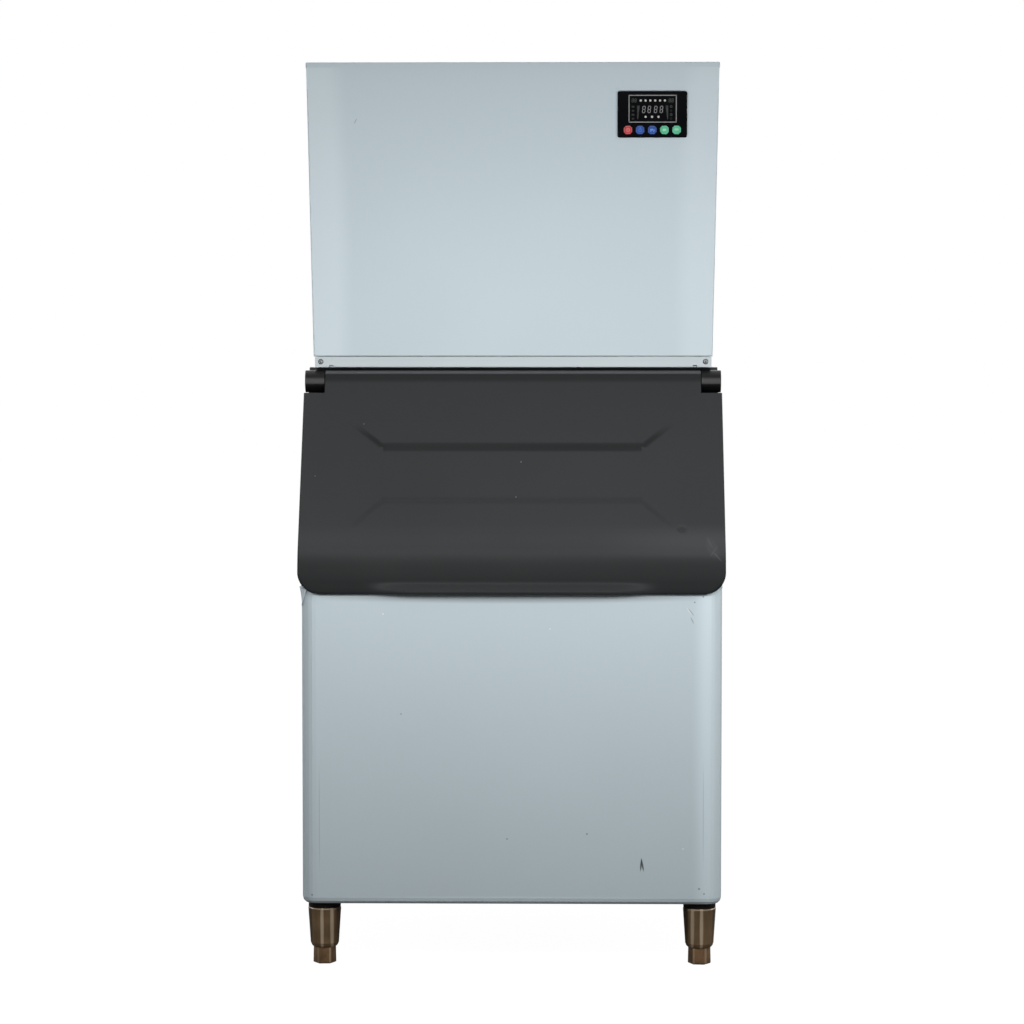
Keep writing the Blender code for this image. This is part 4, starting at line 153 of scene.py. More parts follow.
mark, given, result = shared_group(
    "small_mark",
    [("Place", "NodeSocketVector", (0, 0, 0)), ("Centre", "NodeSocketVector", (0, 0, 0)),
     ("Reach", "NodeSocketVector", (1, 1, 1)), ("Slant", "NodeSocketFloat", 0.0),
     ("Strength", "NodeSocketFloat", 1.0)],
    [("Mask", "NodeSocketFloat")])
offset = add_node(mark, "VectorMath", {0: given["Place"], 1: given["Centre"]}, operation='SUBTRACT')
parts = add_node(mark, "SeparateXYZ", {0: offset.outputs[0]}).outputs
slanted = add_node(mark, "Math", {0: parts["Z"], 1: given["Slant"], 2: parts["X"]}, operation='MULTIPLY_ADD')
joined = add_node(mark, "CombineXYZ", {"X": slanted.outputs[0], "Y": parts["Y"], "Z": parts["Z"]})
scaled = add_node(mark, "VectorMath", {0: joined.outputs[0], 1: given["Reach"]}, operation='DIVIDE')
far = add_node(mark, "VectorMath", {0: scaled.outputs[0]}, operation='LENGTH')
faded = add_node(mark, "MapRange", {"Value": far.outputs["Value"], "From Min": 1.0, "From Max": 0.45,
                                    "To Max": given["Strength"]}, interpolation_type='SMOOTHSTEP')
mark.links.new(faded.outputs["Result"], result["Mask"])


def finish(name, colour, rough, metal=0.0, grain_scale=400.0, stretch=(1, 1, 1), cloud_scale=6.0, tint=0.06,
           mottle=0.05, rough_spread=0.08, bump=0.05, relief=0.0002, specular=0.5, marks_on=(), shaded=False):
    """A surface with a fine grain, which tints and dents it, and broad clouds, which mottle it and its gloss.

    A mark is a soft spot: its place, its reach each way, its slant, its colour and its strength. A shaded
    surface is darkened by the painted shade and lightened by the painted highlight that its mesh keeps, and is
    duller where it is darker."""
    surface = bpy.data.materials.new(name)
    surface.use_nodes = True
    made = surface.node_tree
    shader = made.nodes["Principled BSDF"]
    shader.inputs["Metallic"].default_value = metal
    shader.inputs["Specular IOR Level"].default_value = specular
    where = add_node(made, "TexCoord").outputs["Object"]
    marks = add_node(made, "Group", {"Place": where, "Stretch": stretch, "Grain Scale": grain_scale,
                                     "Cloud Scale": cloud_scale}, node_tree=grain).outputs
    grained = add_node(made, "Mix", {"Factor": marks["Grain"], "A": (*[c * (1 - tint) for c in colour], 1),
                                     "B": (*[min(1.0, c * (1 + tint)) for c in colour], 1)}, data_type='RGBA')
    from_clouds = {"Value": marks["Clouds"], "From Min": 0.3, "From Max": 0.7}
    cloud = add_node(made, "MapRange", {**from_clouds, "To Min": 1 - mottle, "To Max": 1 + mottle})
    toned = add_node(made, "VectorMath", {0: grained.outputs["Result"], "Scale": cloud.outputs["Result"]},
                     operation='SCALE')
    tone_part = toned.outputs[0]
    rough_part = add_node(made, "MapRange", {**from_clouds, "To Min": max(0.02, rough - rough_spread),
                                             "To Max": min(1.0, rough + rough_spread)}).outputs["Result"]
    if shaded:
        kept = add_node(made, "Attribute", attribute_name="shade").outputs["Fac"]
        tone_part = add_node(made, "VectorMath", {0: tone_part, "Scale": kept}, operation='SCALE').outputs[0]
        lost = add_node(made, "Math", {0: 1.0, 1: kept}, operation='SUBTRACT', use_clamp=True)
        rough_part = add_node(made, "Math", {0: lost.outputs[0], 1: 0.45, 2: rough_part},
                              operation='MULTIPLY_ADD').outputs[0]
    for place, reach, slant, tone, strength in marks_on:
        spot = add_node(made, "Group", {"Place": where, "Centre": place, "Reach": reach, "Slant": slant,
                                        "Strength": strength}, node_tree=mark)
        over = add_node(made, "Mix", {"Factor": spot.outputs["Mask"], "A": tone_part, "B": (*tone, 1)},
                        data_type='RGBA')
        tone_part = over.outputs["Result"]
    dents = add_node(made, "Bump", {"Strength": bump, "Distance": relief, "Height": marks["Grain"]})
    made.links.new(tone_part, shader.inputs["Base Color"])
    made.links.new(rough_part, shader.inputs["Roughness"])
    made.links.new(dents.outputs["Normal"], shader.inputs["Normal"])
    return surface


def dress(surface, *names):
    """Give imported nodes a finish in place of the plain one."""
    for name in names:
        slots = nodes[name].data.materials
        slots.clear()
        slots.append(surface)


bin_front = -0.385
everywhere = 5
# lid_shadow is a painted shadow under the lid.
foot_line_brown, scratch_dark, lid_shadow = (0.20, 0.155, 0.12), (0.03, 0.04, 0.04), (0.115, 0.110, 0.120)
dark_speck, pale_speck = (0.10, 0.11, 0.11), (0.90, 0.92, 0.93)
# Painted highlights: along the fold at the foot and down the right corner.
foot_fold_painted_highlight, right_corner_painted_highlight = (0.75, 0.86, 0.90), (0.80, 0.93, 0.98)


def casing_mark(x, z, wide, high, tone, strength, slant=0, deep=0.02):
    """A mark on the bin's front: its middle, half its width and height, its tone, strength and slant."""
    return (x, bin_front, z), (wide, deep, high), slant, tone, strength


# In this order: a brown line along the foot, the two strokes of the scratch, the strokes under the lid's
# right end, the band of painted shadow under the lid, a painted highlight along the fold at the foot, a
# painted highlight down the right corner and two long faint strokes.
casing_marks = [casing_mark(0, 0.1135, everywhere, 0.0035, foot_line_brown, 0.75),
                casing_mark(0.2339, 0.187, 0.0020, 0.0145, scratch_dark, 0.85, -0.09),
                casing_mark(0.2364, 0.187, 0.0022, 0.0145, scratch_dark, 0.85, 0.19),
                casing_mark(0.3230, 0.6448, 0.0016, 0.0080, dark_speck, 0.50, 0.77),
                casing_mark(0.3198, 0.6462, 0.0016, 0.0080, pale_speck, 0.50, 0.77),
                casing_mark(0.3253, 0.6294, 0.0014, 0.0075, dark_speck, 0.50, 0.45),
                casing_mark(0, 0.6745, 0.44, 0.0165, lid_shadow, 0.47),
                casing_mark(0, 0.1225, 0.45, 0.0080, foot_fold_painted_highlight, 0.45),
                casing_mark(0.3790, 0.40, 0.058, 1.2, right_corner_painted_highlight, 0.50, deep=0.2),
                casing_mark(-0.3475, 0.27, 0.0011, 0.120, dark_speck, 0.22),
                casing_mark(0.3460, 0.278, 0.0011, 0.110, dark_speck, 0.22)]
casing_marks += [casing_mark(x, z, size, size, tone, 0.6) for x, z, size, tone in (
    (-0.2315, 0.6408, 0.0022, pale_speck), (0.0693, 0.6141, 0.0020, pale_speck),
    (-0.1994, 0.4600, 0.0018, dark_speck), (-0.0081, 0.2336, 0.0020, dark_speck),
    (0.1363, 0.2430, 0.0022, dark_speck), (0.3096, 0.2162, 0.0022, pale_speck),
    (0.3296, 0.6625, 0.0020, dark_speck), (0.3451, 0.6726, 0.0022, dark_speck),
    (0.3387, 0.1436, 0.0026, dark_speck), (0.3477, 0.1345, 0.0022, dark_speck),
    (-0.3611, 0.1307, 0.0024, dark_speck))]
steel_tone = (0.556, 0.647, 0.690)
steel_look = dict(grain_scale=60, stretch=(9, 9, 0.25), cloud_scale=2.2, tint=0.012, mottle=0.012,
                  rough_spread=0.04, bump=0.04, specular=0.35)
casing_steel = finish("casing_steel", steel_tone, 0.55, 0.15, marks_on=casing_marks, **steel_look)
zinc_sheet = finish("zinc_sheet", (0.50, 0.53, 0.55), 0.46, 0.5, grain_scale=70, cloud_scale=75, tint=0.05,
                    mottle=0.035, rough_spread=0.035, bump=0.03)
dress(casing_steel, "bin_casing")
dress(zinc_sheet, "bin_rear_sheet", "bin_base_sheet", "bin_deck")

# Bin lining: white food-safe plastic round the store, yellow foam that was blown in behind it, and the
# turned drain fitting, which is screwed through both.
white_plastic = finish("white_plastic", (0.78, 0.80, 0.78), 0.38, grain_scale=700, cloud_scale=9, tint=0.02,
                       mottle=0.02, bump=0.04)
foam = finish("foam", (0.76, 0.66, 0.42), 0.85, grain_scale=260, cloud_scale=30, tint=0.16, mottle=0.06,
              bump=0.5, relief=0.0006)
dress(white_plastic, "bin_liner", "drain_fitting")
dress(foam, "bin_insulation")

# Mouth: a black moulded frame, screwed to the bin's sloping front, and the rubber gasket that is pressed
# into the back of the lid and closes on it.
black_plastic = finish("black_plastic", (0.009, 0.009, 0.0095), 0.32, grain_scale=900, cloud_scale=14,
                       tint=0.12, mottle=0.10, bump=0.15)
rubber = finish("rubber", (0.020, 0.020, 0.021), 0.70, grain_scale=1200, cloud_scale=20, tint=0.12,
                mottle=0.10, bump=0.2)
dress(black_plastic, "door_frame")
dress(rubber, "lid_gasket")

# Lid: one heavy black moulding with softly raised pads, a rounded shoulder and a grip lip along its foot.
# It has a fine leathery grain with scuffs from hands and scoops, and a white skin screwed on behind. Its
# front keeps painted shade and painted highlights: dark in the grooves, the dimple and under the shoulder
# and the lip, pale along the crown, the lip's top and a band on the shoulder.
lean_back = math.radians(27.7)
hinge_y, hinge_z, lid_foot = -0.213, 1.059, 0.67698
half_width, face_out, rear_out, skirt_y = 0.385, 0.020, -0.0184, -0.388
corner_round, corner_from, edge_round = 0.040, 0.345, 0.0035
notch_from, notch_top = 0.34625, 1.0378
lip_proud, dimple_depth, dimple_x, dimple_v = 0.0154, 0.0018, 0.3065, -0.3100


def on_slope(v, n, start=(hinge_y, hinge_z)):
    """Depth and height of a point at a distance up the slope from its start and out of it."""
    return (start[0] + v * math.sin(lean_back) - n * math.cos(lean_back),
            start[1] + v * math.cos(lean_back) + n * math.sin(lean_back))


def slope_at_depth(y, n):
    """Distance up the slope from the hinge at which a line that lies out of it has a depth."""
    return (y - hinge_y + n * math.cos(lean_back)) / math.sin(lean_back)


def slope_at_height(z, n):
    """Distance up the slope from the hinge at which a line that lies out of it has a height."""
    return (z - hinge_z - n * math.sin(lean_back)) / math.cos(lean_back)


def soft_step(value, low, high):
    """Nought below low, one above high, and a smooth run between."""
    share = min(1.0, max(0.0, (value - low) / (high - low)))
    return share * share * (3 - 2 * share)


def arc_fall(radius, past):
    """How far a rounded edge has fallen away at a distance past its start."""
    return radius - math.sqrt(max(0.0, radius ** 2 - past ** 2))


def drawn_across(side_view, half):
    """A solid with one side view, given as depths and heights, over its whole width."""
    bm = bmesh.new()
    side = bm.faces.new([bm.verts.new((-half, y, z)) for y, z in side_view])
    grown = bmesh.ops.extrude_face_region(bm, geom=[side])["geom"]
    moved = [part for part in grown if isinstance(part, bmesh.types.BMVert)]
    bmesh.ops.translate(bm, vec=(2 * half, 0, 0), verts=moved)
    bmesh.ops.recalc_face_normals(bm, faces=bm.faces)
    return bm


def round_edges(bm, edges, offset, segments):
    """Round some edges of a solid."""
    bmesh.ops.bevel(bm, geom=edges, offset=offset, segments=segments, profile=0.5, affect='EDGES',
                    material=-1)


rear_y, crown_z = hinge_y + 0.020, hinge_z + 0.020
corners = [on_slope(slope_at_depth(rear_y, rear_out), rear_out), (rear_y, crown_z),
           on_slope(slope_at_height(crown_z, face_out), face_out), (-0.4057, 0.73298), (-0.3988, lid_foot),
           (skirt_y, lid_foot), on_slope(slope_at_depth(skirt_y, rear_out), rear_out)]
moulding = drawn_across(corners, half_width)


def crosswise(edge):
    """Whether an edge runs along the lid's width."""
    return abs(edge.verts[0].co.x - edge.verts[1].co.x) > 0.1


def edges_at(y, z):
    """The edges along the lid's width that start at a place in its side view."""
    return [e for e in moulding.edges if crosswise(e)
            and math.hypot(e.verts[0].co.y - y, e.verts[0].co.z - z) < 0.0005]


# The back is sunk for the inner skin.
recess_top, recess_foot, recess_depth = -0.0265, -0.3915, 0.006
back = [f for f in moulding.faces if len(f.verts) == 4 and f.normal.y > 0.8 and f.normal.z < -0.3][0]
bmesh.ops.inset_individual(moulding, faces=[back], thickness=0.0145)
for vert in back.verts:
    vert.co.y, vert.co.z = on_slope(recess_top if vert.co.z > 0.9 else recess_foot, rear_out)
bmesh.ops.inset_individual(moulding, faces=[back], thickness=0.0001, depth=-recess_depth)
for (y, z), offset, segments in zip(corners[1:5], (0.0197, 0.0056, 0.034, 0.004), (10, 6, 14, 4)):
    round_edges(moulding, edges_at(y, z), offset, segments)


def largest_front(below):
    """The largest four-sided face that looks forward, of those whose middle is below a height."""
    return max((f for f in moulding.faces if len(f.verts) == 4 and f.normal.y < -0.8
                and f.calc_center_median().z < below), key=lambda f: f.calc_area())


# Points for the pads and the lip: up the face, up the foot and across the width, and some close ones at the
# notches and the rounded ends.
for below, cuts in ((crown_z, 150), (0.70, 8)):
    bmesh.ops.subdivide_edges(moulding, edges=[e for e in largest_front(below).edges if not crosswise(e)],
                              cuts=cuts, use_grid_fill=True)
bmesh.ops.subdivide_edges(moulding, edges=[e for e in moulding.edges if crosswise(e)], cuts=260,
                          use_grid_fill=True)
for place in (0.34620, 0.34630, 0.3800, 0.3820, 0.3835, 0.3842, 0.3847, 0.38490):
    for sign in (-1, 1):
        bmesh.ops.bisect_plane(moulding, geom=moulding.verts[:] + moulding.edges[:] + moulding.faces[:],
                               plane_co=(sign * place, 0, 0), plane_no=(1, 0, 0))
outer = sorted(((v.co.z, v.co.y) for v in moulding.verts if abs(v.co.x) < 0.002 and v.co.y < -0.38),
               key=lambda p: p[0])


def front_at(z):
    """Depth of the lid's outer side at a height, before the lip and the pads."""
    below = max((p for p in outer if p[0] <= z + 0.00001), key=lambda p: p[0], default=outer[0])
    return below[1]


# Each pad: where it grows out of the slope and its half width there, where it ends and its half width
# there, its height, and the depth of the painted shade along it.
pads = ((-0.0907, 0.298, -0.146, 0.234, 0.0035, 0.50), (-0.3143, 0.296, -0.2533, 0.232, 0.0018, 0.14))


def pad_rise(x, v, pad):
    """Height of a tapered pad that grows out of the face and ends in a soft step."""
    far_v, far_half, near_v, near_half, proud, _ = pad
    along = (v - far_v) / (near_v - far_v)
    if along <= 0:
        return 0.0
    half = far_half + (near_half - far_half) * min(1.0, along)
    past = (along - 1) * abs(near_v - far_v)
    grown_in = 1 - (1 - min(1.0, along)) ** 2
    return (proud * grown_in * soft_step(half - abs(x), -0.004, 0.004)
            * (1 - soft_step(past, -0.0035, 0.0035)))


def pad_shade(x, v, pad):
    """How dark the painted shade is in the groove beside a pad and below its end."""
    far_v, far_half, near_v, near_half, _, darkest = pad
    along = (v - far_v) / (near_v - far_v)
    if not -0.02 < along < 1.2:
        return 0.0
    half = far_half + (near_half - far_half) * min(1.0, along)
    beside = abs(abs(x) - half - 0.002) if along < 1 else 1.0
    below = abs(v - near_v) if abs(x) < near_half + 0.003 else 1.0
    return darkest * soft_step(along, 0.0, 0.7) * (1 - soft_step(min(beside, below), 0.0045, 0.0105))


def front_shade(x, z, v):
    """The front's painted light and shade against the lid's own tone: 1 is plain, less is painted shade, darker and
    duller, more is painted highlight, paler.
    """
    # Painted shade under the shoulder and the lip; painted highlights on the lip's top and in a band along the
    # shoulder, paler to the right; painted shade in the grooves and the dimple; a painted highlight on the crown
    # with painted shade below it.
    on_lip = 1 - soft_step(abs(x), 0.215, 0.275)
    tone = 1 - 0.48 * soft_step(0.774 - z, 0.0, 0.050) + 0.30 * on_lip * soft_step(0.7005 - z, 0.0, 0.004)
    tone -= (0.10 + 0.12 * on_lip) * soft_step(0.690 - z, 0.0, 0.010)
    tone += (0.20 + 0.50 * soft_step(x, 0.12, 0.33)) * soft_step(0.034 - abs(z - 0.772), 0.0, 0.030)
    groove = max(pad_shade(x, v, pad) for pad in pads)
    dimple = 1 - soft_step(math.hypot(x - dimple_x, v - dimple_v), 0.0065, 0.0095)
    crown = soft_step(z, 1.0726, 1.0746)
    below_crown = soft_step(z, 1.054, 1.064) * (1 - crown)
    return tone * (1 - groove) * (1 - 0.30 * dimple) * (1 + 3.0 * crown) * (1 - 0.45 * below_crown)


# Each point keeps its painted shade and painted highlight, which the lid's finish reads.
shade = moulding.verts.layers.float.new("shade")
for vert in moulding.verts:
    x, y, z = vert.co
    v = (y - hinge_y) * math.sin(lean_back) + (z - hinge_z) * math.cos(lean_back)
    n = -(y - hinge_y) * math.cos(lean_back) + (z - hinge_z) * math.sin(lean_back)
    front = n > -0.0150
    vert[shade] = 1.0
    low = lid_foot
    if abs(x) > corner_from:
        low += arc_fall(corner_round, abs(x) - corner_from)
    if z < low:
        z = low
        y = front_at(low) if front else max(skirt_y, on_slope(slope_at_height(low, rear_out), rear_out)[0])
    if abs(x) > notch_from and z > notch_top:
        z = notch_top
        out = face_out if n > 0 else rear_out
        y = on_slope(slope_at_height(notch_top, out), out)[0]
    if front:
        inside = min(half_width - abs(x), z - lid_foot if z > lid_foot + 0.006 else 1.0)
        if abs(x) > corner_from and z < lid_foot + corner_round:
            inside = corner_round - math.hypot(abs(x) - corner_from, z - lid_foot - corner_round)
        y -= lip_proud * (1 - soft_step(abs(x), 0.172, 0.268)) * (1 - soft_step(z - lid_foot, 0.006, 0.022))
        dimple = 1 - soft_step(math.hypot(x - dimple_x, v - dimple_v), 0.0055, 0.0090)
        rise = sum(pad_rise(x, v, pad) for pad in pads) - dimple_depth * dimple
        vert[shade] = front_shade(x, z, v)
        y -= rise * math.cos(lean_back)
        z += rise * math.sin(lean_back)
        if inside < edge_round:
            y += arc_fall(edge_round, edge_round - max(0.0, inside))
    vert.co = (x, y, z)
bmesh.ops.remove_doubles(moulding, verts=moulding.verts, dist=0.00002)
bmesh.ops.recalc_face_normals(moulding, faces=moulding.faces)

# Four pale specks, then the scuffs on the shoulder's right end.
lid_marks = [(place, (size, 0.02, size), 0, (0.45, 0.45, 0.45), strength) for place, size, strength in (
    ((0.0161, -0.3124, 0.9127), 0.0011, 0.7), ((0.0075, -0.3452, 0.8503), 0.0011, 0.7),
    ((-0.3582, -0.3257, 0.8874), 0.0010, 0.6), ((-0.2720, -0.2765, 0.9811), 0.0010, 0.6))]
lid_marks += [(place, (wide, 0.03, high), slant, (grey, grey, grey), strength)
              for place, wide, high, slant, grey, strength in (
                  ((0.3600, -0.3930, 0.7620), 0.0140, 0.024, 0.3, 0.10, 0.16),
                  ((0.3560, -0.3894, 0.7700), 0.0022, 0.013, 0.5, 0.12, 0.22),
                  ((0.3640, -0.3960, 0.7560), 0.0022, 0.012, -0.7, 0.12, 0.22),
                  ((0.3700, -0.4000, 0.7450), 0.0024, 0.010, 0.9, 0.14, 0.25))]
lid_plastic = finish("lid_plastic", (0.0285, 0.0305, 0.0318), 0.50, grain_scale=850, cloud_scale=3.5,
                     tint=0.08, mottle=0.07, rough_spread=0.05, bump=0.14, relief=0.0003, specular=0.24, shaded=True,
                     marks_on=lid_marks)


def new_piece(name, bm, surface, body, crease=40):
    """A finished piece at the origin with soft shading, that rides on one of the machine's bodies."""
    for edge in bm.edges:
        edge.smooth = len(edge.link_faces) == 2 and edge.calc_face_angle(0) < math.radians(crease)
    for face in bm.faces:
        face.smooth = True
    mesh = bpy.data.meshes.new(name)
    bm.to_mesh(mesh)
    bm.free()
    mesh.materials.append(surface)
    piece = bpy.data.objects.new(name, mesh)
    bpy.context.scene.collection.objects.link(piece)
    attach(piece, body)
    return piece


lid_moulding = new_piece("lid_moulding", moulding, lid_plastic, "lid")
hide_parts("lid_shell")
dress(white_plastic, "lid_inner_skin")
# A pale band across the knuckles' middle is a painted highlight.
knuckle_painted_highlight = ((0, -0.2330, 1.0600), (1, 0.02, 0.0085), 0, (0.050, 0.050, 0.049), 0.95)
knuckle_plastic = finish("knuckle_plastic", (0.0035, 0.0035, 0.0037), 0.38, grain_scale=900, cloud_scale=14,
                         tint=0.12, mottle=0.10, bump=0.15, specular=0.22, marks_on=[knuckle_painted_highlight])
dress(knuckle_plastic, "hinge_knuckle_left", "hinge_knuckle_right")

# Sill: the casing's own edge, the same satin steel, folded back over the foam below the mouth. Only the
# open lid shows it.
sill_start, sill_inner, sill_outer = (bin_front, 0.6866), 0.00005, 0.0006
sill_foot, sill_top, sill_half = 0.0010, 0.0142, 0.3794
sill = drawn_across([on_slope(up, out, sill_start) for up, out in (
    (sill_foot, sill_inner), (sill_top, sill_inner), (sill_top, sill_outer), (sill_foot, sill_outer))],
    sill_half)
new_piece("sill_fold", sill, casing_steel, "machine")

# Legs: a turned cup under each corner with a hexagonal foot that screws into it, in bronze-toned metal.
# Painted reflections run down the cups as pale streaks, with painted shade down their sides and a painted
# highlight under the rim; their flat tops lie in the bin's shadow, painted as a dark ring. Painted
# highlights run down two upright edges of each foot.
leg_out, front_legs, rear_legs = 0.3415, -0.340, 0.360
bronze_painted_shade, bronze_painted_highlight, bronze_corner_highlight = (0.05, 0.030, 0.015), (0.72, 0.56, 0.40), (0.46, 0.33, 0.20)
# A painted highlight under the rim, then on each cup painted shade down both sides and two painted reflections.
painted_cup_reflections = [((0, 0, 0.1016), (everywhere, everywhere, 0.0016), 0, (0.50, 0.40, 0.30), 0.75)]
for axis, highlights_at in ((-leg_out, (-0.0030, 0.0148)), (leg_out, (-0.0137, 0.0027))):
    for across, half, tone, strength in ((-0.0265, 0.0070, bronze_painted_shade, 0.80),
                                         (0.0275, 0.0060, bronze_painted_shade, 0.45),
                                         (highlights_at[0], 0.0042, bronze_painted_highlight, 0.85),
                                         (highlights_at[1], 0.0042, bronze_painted_highlight, 0.85)):
        painted_cup_reflections.append(((axis + across, 0, 0.070), (half, everywhere, 0.080), 0, tone, strength))
leg_bronze = finish("leg_bronze", (0.23, 0.150, 0.080), 0.36, 0.75, grain_scale=120, stretch=(1, 1, 0.05),
                    cloud_scale=22, tint=0.30, mottle=0.12, rough_spread=0.08, bump=0.08, marks_on=painted_cup_reflections)
# Painted highlights down two upright edges of each hexagonal foot.
painted_corner_highlights = [((axis + across, 0, 0.015), (0.0026, everywhere, 0.10), 0, bronze_corner_highlight, strength)
                for axis in (-leg_out, leg_out) for across, strength in ((-0.0110, 0.5), (0.0110, 0.8))]
foot_bronze = finish("foot_bronze", (0.22, 0.130, 0.066), 0.42, 0.7, grain_scale=150, cloud_scale=40, tint=0.18,
                     mottle=0.2, rough_spread=0.08, bump=0.1, marks_on=painted_corner_highlights)
# A near-black finish for painted shade.
painted_shade_black = finish("painted_shade_black", (0.006, 0.005, 0.004), 0.7, grain_scale=500, cloud_scale=60, tint=0.2,
                     mottle=0.2, bump=0.2, specular=0.12)


def spin_round(bm, profile, steps):
    """Turn a profile once round the upright axis."""
    bmesh.ops.spin(bm, geom=profile, cent=(0, 0, 0), axis=(0, 0, 1), angle=2 * math.pi, steps=steps,
                   use_merge=True, use_duplicate=False)


def turn(bm, degrees, axis, verts):
    """Turn some points about an axis through the origin."""
    bmesh.ops.rotate(bm, cent=(0, 0, 0), matrix=Matrix.Rotation(math.radians(degrees), 3, axis), verts=verts)


shade_ring_in, shade_ring_out, shade_ring_top = 0.0242, 0.0294, 0.1133
hex_foot_radius, hex_top_radius, hex_height = 0.02125, 0.0206, 0.0295
stem_radius, stem_length, stem_middle = 0.0078, 0.072, 0.061
for label, leg_x, leg_y in (("front_left", -leg_out, front_legs), ("front_right", leg_out, front_legs),
                            ("rear_left", -leg_out, rear_legs), ("rear_right", leg_out, rear_legs)):
    dress(leg_bronze, "leg_cup_" + label)
    # A dark ring of painted shade over each cup's top, where the bin's shadow falls.
    shade_ring = bmesh.new()
    shade_ring.faces.new([shade_ring.verts.new((radius, 0, z)) for radius, z in (
        (shade_ring_in, shade_ring_top), (shade_ring_out, shade_ring_top), (shade_ring_out, 0.1038), (shade_ring_in, 0.1042))])
    spin_round(shade_ring, shade_ring.verts[:] + shade_ring.edges[:] + shade_ring.faces[:], 32)
    bmesh.ops.translate(shade_ring, vec=(leg_x, leg_y, 0), verts=shade_ring.verts)
    bmesh.ops.recalc_face_normals(shade_ring, faces=shade_ring.faces)
    new_piece("leg_painted_shade_ring_" + label, shade_ring, painted_shade_black, "machine")
    hexagon = bmesh.new()
    bmesh.ops.create_cone(hexagon, cap_ends=True, segments=6, radius1=hex_foot_radius, radius2=hex_top_radius,
                          depth=hex_height, matrix=Matrix.Translation((0, 0, hex_height / 2))
                          @ Matrix.Rotation(math.radians(30), 4, 'Z'))
    sole = [e for e in hexagon.edges if all(v.co.z < 0.001 for v in e.verts)]
    round_edges(hexagon, sole, 0.0034, 4)
    upright = [e for e in hexagon.edges if abs(e.verts[0].co.z - e.verts[1].co.z) > 0.02]
    round_edges(hexagon, upright, 0.0012, 3)
    bmesh.ops.create_cone(hexagon, cap_ends=True, segments=24, radius1=stem_radius, radius2=stem_radius,
                          depth=stem_length, matrix=Matrix.Translation((0, 0, stem_middle)))
    turn(hexagon, 4 if leg_x < 0 else -6, 'Z', hexagon.verts)
    bmesh.ops.translate(hexagon, vec=(leg_x, leg_y, 0), verts=hexagon.verts)
    bmesh.ops.recalc_face_normals(hexagon, faces=hexagon.faces)
    hex_foot = new_piece("hex_foot_" + label, hexagon, foot_bronze, "leveller_" + label, 25)
    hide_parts("foot_" + label)

# Head casing: folded sheets of the same satin steel, screwed to a shallow tray, with a galvanised back.
# The front panel has a dark nick and painted highlights along both its side folds.
fold_painted_highlight = (0.70, 0.79, 0.83)
panel_marks = [((-0.2874, -0.2602, 1.5348), (0.0012, 0.02, 0.0065), -0.5, dark_speck, 0.45)]
panel_marks += [((along, -0.2500, 1.34), (0.070, 0.2, 0.70), slant, fold_painted_highlight, strength)
                for along, slant, strength in ((-0.3600, 0.018, 0.46), (0.3600, -0.018, 0.30))]
stainless = finish("stainless", (0.56, 0.57, 0.58), 0.30, 1.0, grain_scale=90, stretch=(1, 1, 8),
                   cloud_scale=12, tint=0.05, mottle=0.05, bump=0.05)
satin_steel = finish("satin_steel", steel_tone, 0.55, 0.15, **steel_look)
tray_steel = finish("tray_steel", (0.520, 0.575, 0.598), 0.50, 0.15, **steel_look)
panel_steel = finish("panel_steel", steel_tone, 0.55, 0.15, marks_on=panel_marks, **steel_look)
dress(satin_steel, "side_panel_left", "side_panel_right", "top_cover")
dress(tray_steel, "head_base_tray")
dress(panel_steel, "front_panel")
dress(zinc_sheet, "rear_panel")

# Top seam: the cover's front edge, in the same satin steel, rolled down over the panel, so that no gap
# shows from the front.
seam_front, seam_top, seam_foot = -0.26755, 1.6335, 1.5920
seam = drawn_across([(seam_front, seam_top), (seam_front, 1.6312), (-0.26432, seam_foot), (-0.26340, seam_foot),
                     (-0.26600, seam_top)], 0.3766)
new_piece("top_seam", seam, panel_steel, "machine", 30)

